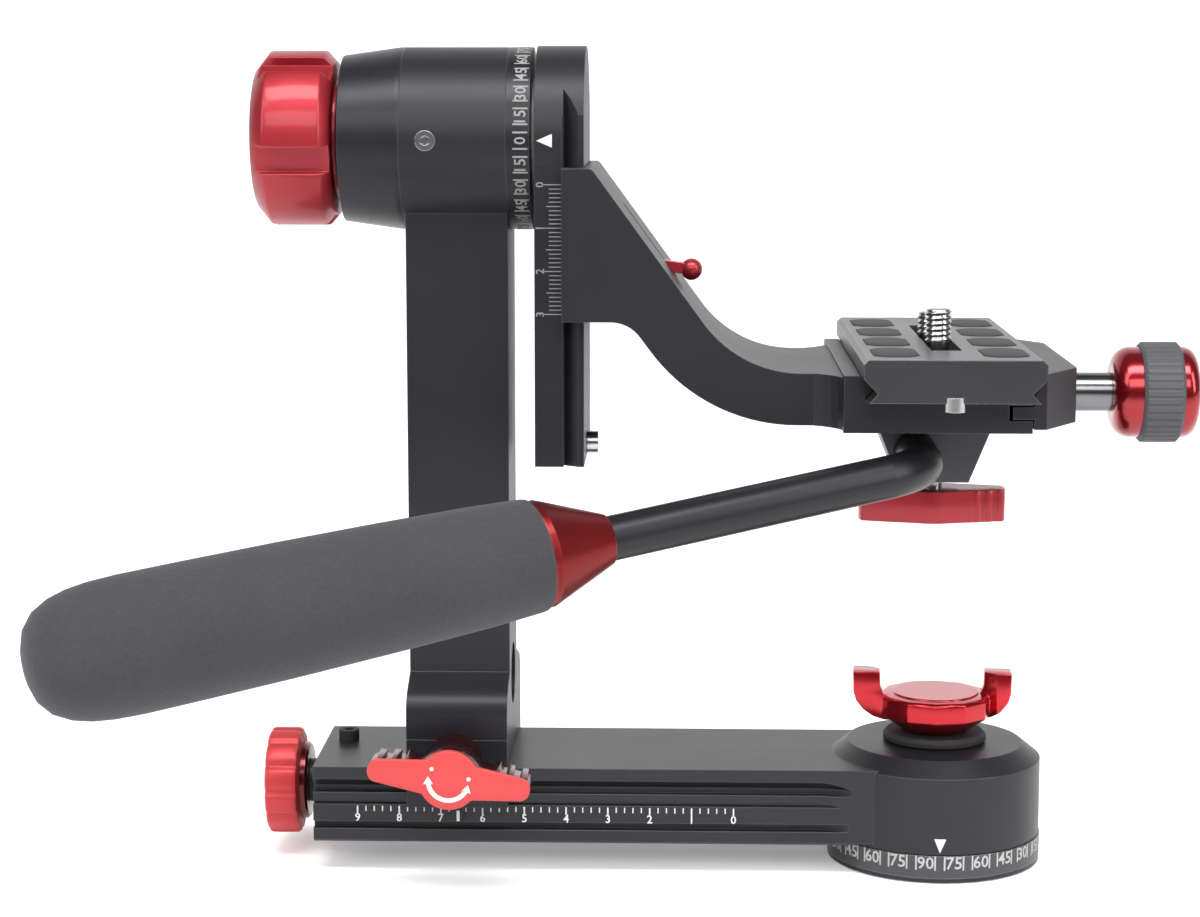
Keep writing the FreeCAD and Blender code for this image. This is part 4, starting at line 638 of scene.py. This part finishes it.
# The tilt knob: a red anodised drum, turned with a sloped end, with five grip slots milled along it
# and a brass thread inside.
def carve(solid, cutter):
    """Cuts one closed shape out of another."""
    blanks = []
    for part in (solid, cutter):
        data = bpy.data.meshes.new("blank")
        part.to_mesh(data)
        part.free()
        blanks.append(bpy.data.objects.new("blank", data))
        bpy.context.scene.collection.objects.link(blanks[-1])
    cut = blanks[0].modifiers.new("cut", "BOOLEAN")
    cut.operation = "DIFFERENCE"
    cut.solver = "EXACT"
    cut.object = blanks[1]
    drawn = blanks[0].evaluated_get(bpy.context.evaluated_depsgraph_get())
    left = bmesh.new()
    left.from_mesh(bpy.data.meshes.new_from_object(drawn))
    for blank in blanks:
        bpy.data.objects.remove(blank)
    return left


def turn_profile(outline, steps=96):
    """A turned solid round Z from (radius, height) points in millimetres."""
    mesh = bmesh.new()
    points = [mesh.verts.new((r * MM, 0, z * MM)) for r, z in outline]
    lines = [mesh.edges.new(pair) for pair in zip(points, points[1:])]
    bmesh.ops.spin(mesh, geom=points + lines, cent=(0, 0, 0), axis=(0, 0, 1), angle=math.tau,
                   steps=steps, use_merge=True)
    bmesh.ops.remove_doubles(mesh, verts=mesh.verts, dist=1e-6)
    bmesh.ops.recalc_face_normals(mesh, faces=mesh.faces)
    return mesh


TILT_KNOB_SPOT = Vector((-163.1, 0, 174.4)) * MM
drum = turn_profile([(0, 0), (16.2, 0), (16.6, 0.15), (20.5, 3.3), (20.7, 3.8), (20.7, 16.2),
                     (20.4, 16.8), (18.0, 18.9), (14, 19.0), (14, 19.75), (8.1, 19.75), (8.1, 4),
                     (0, 4)], steps=120)
DRUM_R = 20.7 * MM
DRUM_MIDDLE = 10 * MM
DRUM_SLOTS = 5
SLOTS_FROM = -4.5
SLOT_SIZE = (5.2 * MM, 6.3 * MM, 30 * MM)
slots = bmesh.new()
for k in range(DRUM_SLOTS):
    turn = math.radians(360 / DRUM_SLOTS * k + SLOTS_FROM)
    bar = bmesh.new()
    bmesh.ops.create_cube(bar, size=1, matrix=Matrix.Rotation(turn, 4, "Z")
                          @ Matrix.Translation((DRUM_R, 0, DRUM_MIDDLE))
                          @ Matrix.Diagonal((*SLOT_SIZE, 1)))
    join(slots, bar)
drum = carve(drum, slots)
ease(drum, 0.35 * MM, limit=30)
bmesh.ops.transform(drum, matrix=Matrix.Translation(TILT_KNOB_SPOT) @ along_x, verts=drum.verts)
smooth(finished("tilt_knob_drum", drum, red, "tilt_knob", "tilt_lock_knob", slot="red_anodised"),
       angle=30)
dress(brass, "tilt_knob_nut")


# The tilting rail: milled from black anodised bar with a round disc at its top. Its front carries a
# pointer for the hub's ring and a height scale in millimetres.
dress(black, "tilt_rail")
dress(steel, "rail_stop_screw")
DISC_R = 21.8 * MM
DISC_POINTER_X = -94.1 * MM
marks = bmesh.new()
arrow(marks, (DISC_POINTER_X, 0), length=3.6 * MM, width=3.1 * MM, turn=90)
onto_barrel(marks, DISC_R, HUB_Z)
finished("disc_pointer", marks, white_ink, "tilt")

RAIL_FACE = -21 * MM
RAIL_ZERO = 164.3 * MM
RAIL_LINES = 31
RAIL_RIGHT = -90.3
RAIL_FIGURES_X = -95.2 * MM
marks = bmesh.new()
for k in range(RAIL_LINES):
    z = RAIL_ZERO - k * MM
    left = -94.2 if k % 10 == 0 else -93.7 if k % 5 == 0 else -93.1
    mark(marks, ((left + RAIL_RIGHT) / 2 * MM, z), width=(RAIL_RIGHT - left) * MM, height=0.24 * MM)
    if k % 10 == 0:
        figure(marks, str(k // 10), 1.9 * MM, (RAIL_FIGURES_X, z), turn=90)
onto_front(marks, RAIL_FACE)
finished("rail_scale", marks, grey_ink, "tilt")


# The cradle: a swan-necked arm of black anodised aluminium that slides on the rail, with a red brake
# lever in a slot on its slope. The clamp's fixed half is its outer end, with the handle's block below.
dress(black, "cradle_arm")
block_black = anodised("black_block", (0.045, 0.0445, 0.05), (0.06, 0.0595, 0.066), rough=0.4)
dress(block_black, "handle_block")
dress(red, "brake_lever", "lever_ball")
dress(steel, "lever_pin", "brake_plunger", "block_screws")


# The quick-release clamp: a sliding jaw on two steel pins, drawn in by a polished knob of red
# anodised aluminium with a ribbed rubber ring let into it.
dress(black, "moving_jaw")
dress(steel, "jaw_guide_pins")
dark_nickel = bare_metal("dark_nickel", (0.15, 0.15, 0.155), (0.2, 0.2, 0.205), rough=0.14)
dress(dark_nickel, "clamp_screw")
ribbed_rubber = moulded("ribbed_rubber", (0.05, 0.049, 0.054), (0.075, 0.074, 0.08), rough=0.5,
                        depth=0.03 * MM)
dress(ribbed_rubber, "clamp_knob_grip")
red_polished = red_metal("red_polished", (0.24, 0.004, 0.01), (0.32, 0.008, 0.014), rough=0.16,
                         metal=0.8, coat=0.6)
dress(red_polished, "clamp_knob_core")


# The camera plate: black anodised aluminium with eight rounded rubber pads glued into pockets, a slot
# for two steel camera screws, and a steel stop screw under each end.
plate_metal = anodised("plate_anodised", (0.036, 0.034, 0.037), (0.05, 0.048, 0.051), rough=0.34,
                       metal=0.5)
dress(plate_metal, "qr_plate")
dress(steel, "plate_stop_screws")
dress(brass, "front_screw_keeper", "rear_screw_keeper")
PLATE_X = -1.85
PADS_LOW = 126.42
PADS_TOP = 127.38
PAD_SIZE = (10.3 * MM, 19.1 * MM, (PADS_TOP - PADS_LOW) * MM)
PAD_CORNER = 4.9 * MM
PAD_ASIDE = 12.3
PAD_ROWS = 4
PAD_PITCH = 24
pads = bmesh.new()
for side in (1, -1):
    for row in range(PAD_ROWS):
        pad = bmesh.new()
        spot = Vector((PLATE_X + side * PAD_ASIDE, PAD_PITCH * (row - (PAD_ROWS - 1) / 2),
                       (PADS_LOW + PADS_TOP) / 2))
        bmesh.ops.create_cube(pad, size=1, matrix=Matrix.Translation(spot * MM)
                              @ Matrix.Diagonal((*PAD_SIZE, 1)))
        upright = [edge for edge in pad.edges
                   if abs(edge.verts[0].co.z - edge.verts[1].co.z) > PAD_SIZE[2] / 2]
        bmesh.ops.bevel(pad, geom=upright, offset=PAD_CORNER, segments=10, profile=0.5,
                        affect="EDGES", clamp_overlap=True, material=-1)
        ease(pad, 0.15 * MM, limit=60)
        join(pads, pad)
pad_rubber = moulded("pad_rubber", (0.016, 0.014, 0.0135), (0.032, 0.028, 0.027), rough=0.6,
                     depth=0.05 * MM)
smooth(finished("pad_set", pads, pad_rubber, "plate", "plate_pads", slot="pad_rubber"))


# The two camera screws: quarter-inch steel screws with a rolled thread, a thin shank that slides in
# the plate's slot and a slotted head below. Their thread starts just over the plate.
THREAD_STEPS = 28


def thread(mesh, core, crest, pitch, low, high):
    """A screw thread round Z between two heights, closed at both ends, in millimetres."""
    turns = int((high - low) / pitch) + 2
    coil = bmesh.new()
    start = low - pitch
    teeth = [coil.verts.new((r * MM, 0, (start + pitch * z) * MM))
             for r, z in ((core, 0), (crest, 0.38), (crest, 0.5), (core, 0.88), (core, 1))]
    lines = [coil.edges.new(pair) for pair in zip(teeth, teeth[1:])]
    bmesh.ops.spin(coil, geom=teeth + lines, cent=(0, 0, 0), axis=(0, 0, 1), angle=math.tau * turns,
                   steps=THREAD_STEPS * turns, dvec=(0, 0, pitch * MM / THREAD_STEPS))
    bmesh.ops.remove_doubles(coil, verts=coil.verts, dist=1e-7)
    for height, way in ((low, -1), (high, 1)):
        cut = bmesh.ops.bisect_plane(coil, geom=coil.verts[:] + coil.edges[:] + coil.faces[:],
                                     plane_co=(0, 0, height * MM), plane_no=(0, 0, way),
                                     clear_outer=True)
        rim = [part for part in cut["geom_cut"] if isinstance(part, bmesh.types.BMEdge)]
        bmesh.ops.edgeloop_fill(coil, edges=rim)
    join(mesh, coil)


SCREW_Y = 10
SHANK_TOP = 127.6
SLIT_SIZE = (14 * MM, 1.4 * MM, 3.6 * MM)
OVERLAP = 0.05
for name, side, top in (("front", -1, 135.0), ("rear", 1, 132.5)):
    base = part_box(f"{name}_camera_screw")[0][2] / MM
    screw = turn_profile([(0, base), (5.8, base), (6, base + 0.2), (6, base + 3.4), (5.8, base + 3.6),
                          (2.6, base + 3.6), (2.6, SHANK_TOP), (0, SHANK_TOP)], steps=48)
    slit = bmesh.new()
    bmesh.ops.create_cube(slit, size=1, matrix=Matrix.Translation((0, 0, base * MM))
                          @ Matrix.Diagonal((*SLIT_SIZE, 1)))
    screw = carve(screw, slit)
    thread(screw, core=2.65, crest=3.13, pitch=1.27, low=SHANK_TOP - OVERLAP, high=top - 0.5)
    tip = turn_profile([(0, top - 0.5 - OVERLAP), (2.9, top - 0.5 - OVERLAP), (2.9, top - 0.3),
                        (2.55, top), (0, top)], steps=48)
    join(screw, tip)
    bmesh.ops.translate(screw, verts=screw.verts, vec=(PLATE_X * MM, side * SCREW_Y * MM, 0))
    smooth(finished(f"{name}_screw_threaded", screw, steel, f"{name}_screw", f"{name}_camera_screw",
                    slot="steel"), 50)


# The handle's wing knob: red anodised, hung under the block, with ribs milled into the pushing side
# of each wing.
WING_SPOT = Vector((-1.75, 0, 83.1)) * MM
WING_THICK = 7.8 * MM
WING_TIP = (17.6 * MM, 3.4 * MM)
WING_RIBS = 3
WING_RIBS_FROM = 10.2
WING_RIBS_STEP = 2.9
WING_EDGE = 4.9
WING_TAPER = 0.28
WING_RIB_SIZE = (RIB_WIDE, 1.5 * MM, WING_THICK - 0.1 * MM)
WING_RIB_TURN = 16
knob = bmesh.new()
winged(knob, 7.9 * MM, WING_TIP, 0.9 * MM, 0, WING_THICK, join_angle=math.radians(74))
ease(knob, 0.35 * MM, limit=40)
for k in range(WING_RIBS):
    for side in (1, -1):
        along = WING_RIBS_STEP * k
        spot = (side * (WING_RIBS_FROM + along) * MM, -side * (WING_EDGE - WING_TAPER * along) * MM,
                WING_THICK / 2)
        rib(knob, spot, WING_RIB_SIZE, WING_RIB_TURN)
bmesh.ops.translate(knob, verts=knob.verts, vec=WING_SPOT)
smooth(finished("handle_knob_wings", knob, red, "handle_knob", "handle_wing_knob",
                slot="red_anodised"))
dress(steel, "handle_wing_stud")
dress(white_plastic, "handle_brake_pad")


# The pan handle: a bent rod of satin black tube, a red anodised ferrule, and a sleeve of closed-cell
# foam with a domed end, pushed over the rod's plastic tube against the ferrule.
black_tube = anodised("black_satin", (0.008, 0.0078, 0.0095), (0.013, 0.0125, 0.015), rough=0.34)
tube_plastic = moulded("tube_plastic", (0.07, 0.07, 0.07), (0.09, 0.09, 0.09), rough=0.5,
                       depth=0.01 * MM)
dress(black_tube, "handle_rod")
dress(tube_plastic, "grip_core_tube")
red_dull = red_metal("red_dull", (0.14, 0.007, 0.008), (0.2, 0.011, 0.012), rough=0.34, metal=0.85,
                     coat=0.1)
dress(red_dull, "handle_ferrule")

foam = Finish("grip_foam", IOR=1.4, Sheen_Roughness=0.6)
foam.surface.inputs["Sheen Weight"].default_value = 0.08
cells = foam.node("ShaderNodeTexVoronoi", {"feature": "SMOOTH_F1"},
                  {"Vector": foam.spot(), "Scale": 1500, "Smoothness": 0.6})
speck = foam.grain(scale=1100, detail=3)
patch = foam.grain(scale=45, detail=3)
foam.paint("Base Color", foam.mix(speck * 0.7 + patch * 0.3, (0.019, 0.0185, 0.0225),
                                  (0.05, 0.049, 0.057)))
foam.paint("Roughness", 0.82 + speck * 0.15)
foam.relief(cells * 0.6 + speck * 0.7, 0.10 * MM, 0.2 * MM)

HANDLE_CORNER = Vector((-7.25, -42, 101.5)) * MM
HANDLE_BEND = math.radians(65.3)
HANDLE_DROOP = math.radians(8.5)
FOAM_START = 95.55
forward = Vector((0, -1, 0))
aside = Vector((-math.cos(HANDLE_DROOP), 0, -math.sin(HANDLE_DROOP)))
handle_run = forward * math.cos(HANDLE_BEND) + aside * math.sin(HANDLE_BEND)
turned = handle_run.to_track_quat("Z", "X").to_matrix().to_4x4()
outline = [(7.1, 0), (11.6, 0), (12.1, 0.4), (12.25, 1.2), (12.9, 12), (13.55, 33), (14.0, 55),
           (14.2, 75), (14.25, 88), (14.0, 94), (13.4, 98.5), (12.3, 102.3), (10.4, 105.7),
           (7.6, 108), (4.3, 109.1), (0, 109.35)]
grip = turn_profile([(r, z + FOAM_START) for r, z in outline])
bmesh.ops.transform(grip, matrix=Matrix.Translation(HANDLE_CORNER) @ turned, verts=grip.verts)
sleeve = smooth(finished("foam_sleeve", grip, foam.material, "handle", "foam_grip", slot="grip_foam"))


# The studio: a pale floor that curves up into a backdrop, with soft lamps overhead, to each side and
# in front. Painted shade darkens the floor towards the viewer, so that flat fronts stay black, and the
# floor and backdrop glow as painted light, most behind the object.
FLOOR_SINK = 0.0003
FLOOR_HALF = 4
DARK_TO, PALE_FROM = -0.9, -0.2
GLOW_FROM, GLOW_FULL = 0.15, 1.1
floor = Finish("floor", Roughness=0.85)
pale = floor.mix(floor.grain(scale=6), (0.90, 0.90, 0.90), (0.93, 0.93, 0.93))
along_floor = floor.node("ShaderNodeSeparateXYZ", None, {0: floor.spot()}, output=1)
near = floor.node("ShaderNodeMapRange", None,
                  {0: along_floor, 1: DARK_TO, 2: PALE_FROM, 3: 0.0, 4: 1.0})
behind = floor.node("ShaderNodeMapRange", None,
                    {0: along_floor, 1: GLOW_FROM, 2: GLOW_FULL, 3: 0.0, 4: 1.0})
# Painted light: no glow towards the viewer, half glow in the middle, full glow behind the object.
glow = floor.mix(near, (0.0, 0.0, 0.0), (0.5, 0.5, 0.5))
# Painted shade: the floor's colour turns dark towards the viewer.
floor.paint("Base Color", floor.mix(near, (0.12, 0.12, 0.12), pale))
floor.paint("Emission Color", floor.mix(behind, glow, (1.0, 1.0, 1.0)))
floor.paint("Emission Strength", 0.5)
sweep = bmesh.new()
profile = [(-3.0, 0), (1.2, 0), (1.6, 0.06), (1.9, 0.25), (2.05, 0.55), (2.1, 1.0), (2.1, 3.5)]
corners = [sweep.verts.new((-FLOOR_HALF, y, z - FLOOR_SINK)) for y, z in profile]
lines = [sweep.edges.new(pair) for pair in zip(corners, corners[1:])]
made = bmesh.ops.extrude_edge_only(sweep, edges=lines)
bmesh.ops.translate(sweep, verts=[v for v in made["geom"] if isinstance(v, bmesh.types.BMVert)],
                    vec=(2 * FLOOR_HALF, 0, 0))
bmesh.ops.recalc_face_normals(sweep, faces=sweep.faces)
data = bpy.data.meshes.new("backdrop")
sweep.to_mesh(data)
sweep.free()
data.materials.append(floor.material)
backdrop = bpy.data.objects.new("backdrop", data)
bpy.context.scene.collection.objects.link(backdrop)
for face in data.polygons:
    face.use_smooth = True


def lamp(name, spot, target, size, power):
    """A flat soft lamp that looks at a point."""
    light = bpy.data.lights.new(name, "AREA")
    light.shape = "RECTANGLE"
    light.size, light.size_y = size
    light.energy = power
    body = bpy.data.objects.new(name, light)
    body.location = spot
    body.rotation_euler = (Vector(target) - Vector(spot)).to_track_quat("-Z", "Y").to_euler()
    bpy.context.scene.collection.objects.link(body)


MIDDLE = (-0.06, 0, 0.1)
lamp("overhead", (-0.05, -0.5, 1.2), MIDDLE, size=(1.3, 0.4), power=18)
lamp("left", (-1.3, -0.9, 0.9), MIDDLE, size=(0.7, 1.2), power=10)
lamp("right", (1.3, -0.8, 0.8), MIDDLE, size=(0.5, 1.2), power=12)
lamp("front", (-0.1, -1.3, 0.85), MIDDLE, size=(1.6, 0.5), power=11)
SKY = 0.14
world = bpy.data.worlds.new("studio")
bpy.context.scene.world = world
world.use_nodes = True
world.node_tree.nodes["Background"].inputs[0].default_value = (1, 1, 1, 1)
world.node_tree.nodes["Background"].inputs[1].default_value = SKY
bpy.context.scene.view_settings.view_transform = "Standard"

CAMERA_PLACE = Vector((-62.733, -631.887, 189.328)) * MM
CAMERA_DOWN = 8.265
CAMERA_LEFT = 1.736
CAMERA_LENS = 79.17
shot = bpy.data.cameras.new("shot")
shot.lens = CAMERA_LENS
shot.sensor_width = 36
shot.clip_start = 0.01
camera = bpy.data.objects.new("shot", shot)
camera.location = CAMERA_PLACE
camera.rotation_euler = (math.radians(90 - CAMERA_DOWN), 0, math.radians(CAMERA_LEFT))
bpy.context.scene.collection.objects.link(camera)
bpy.context.scene.camera = camera
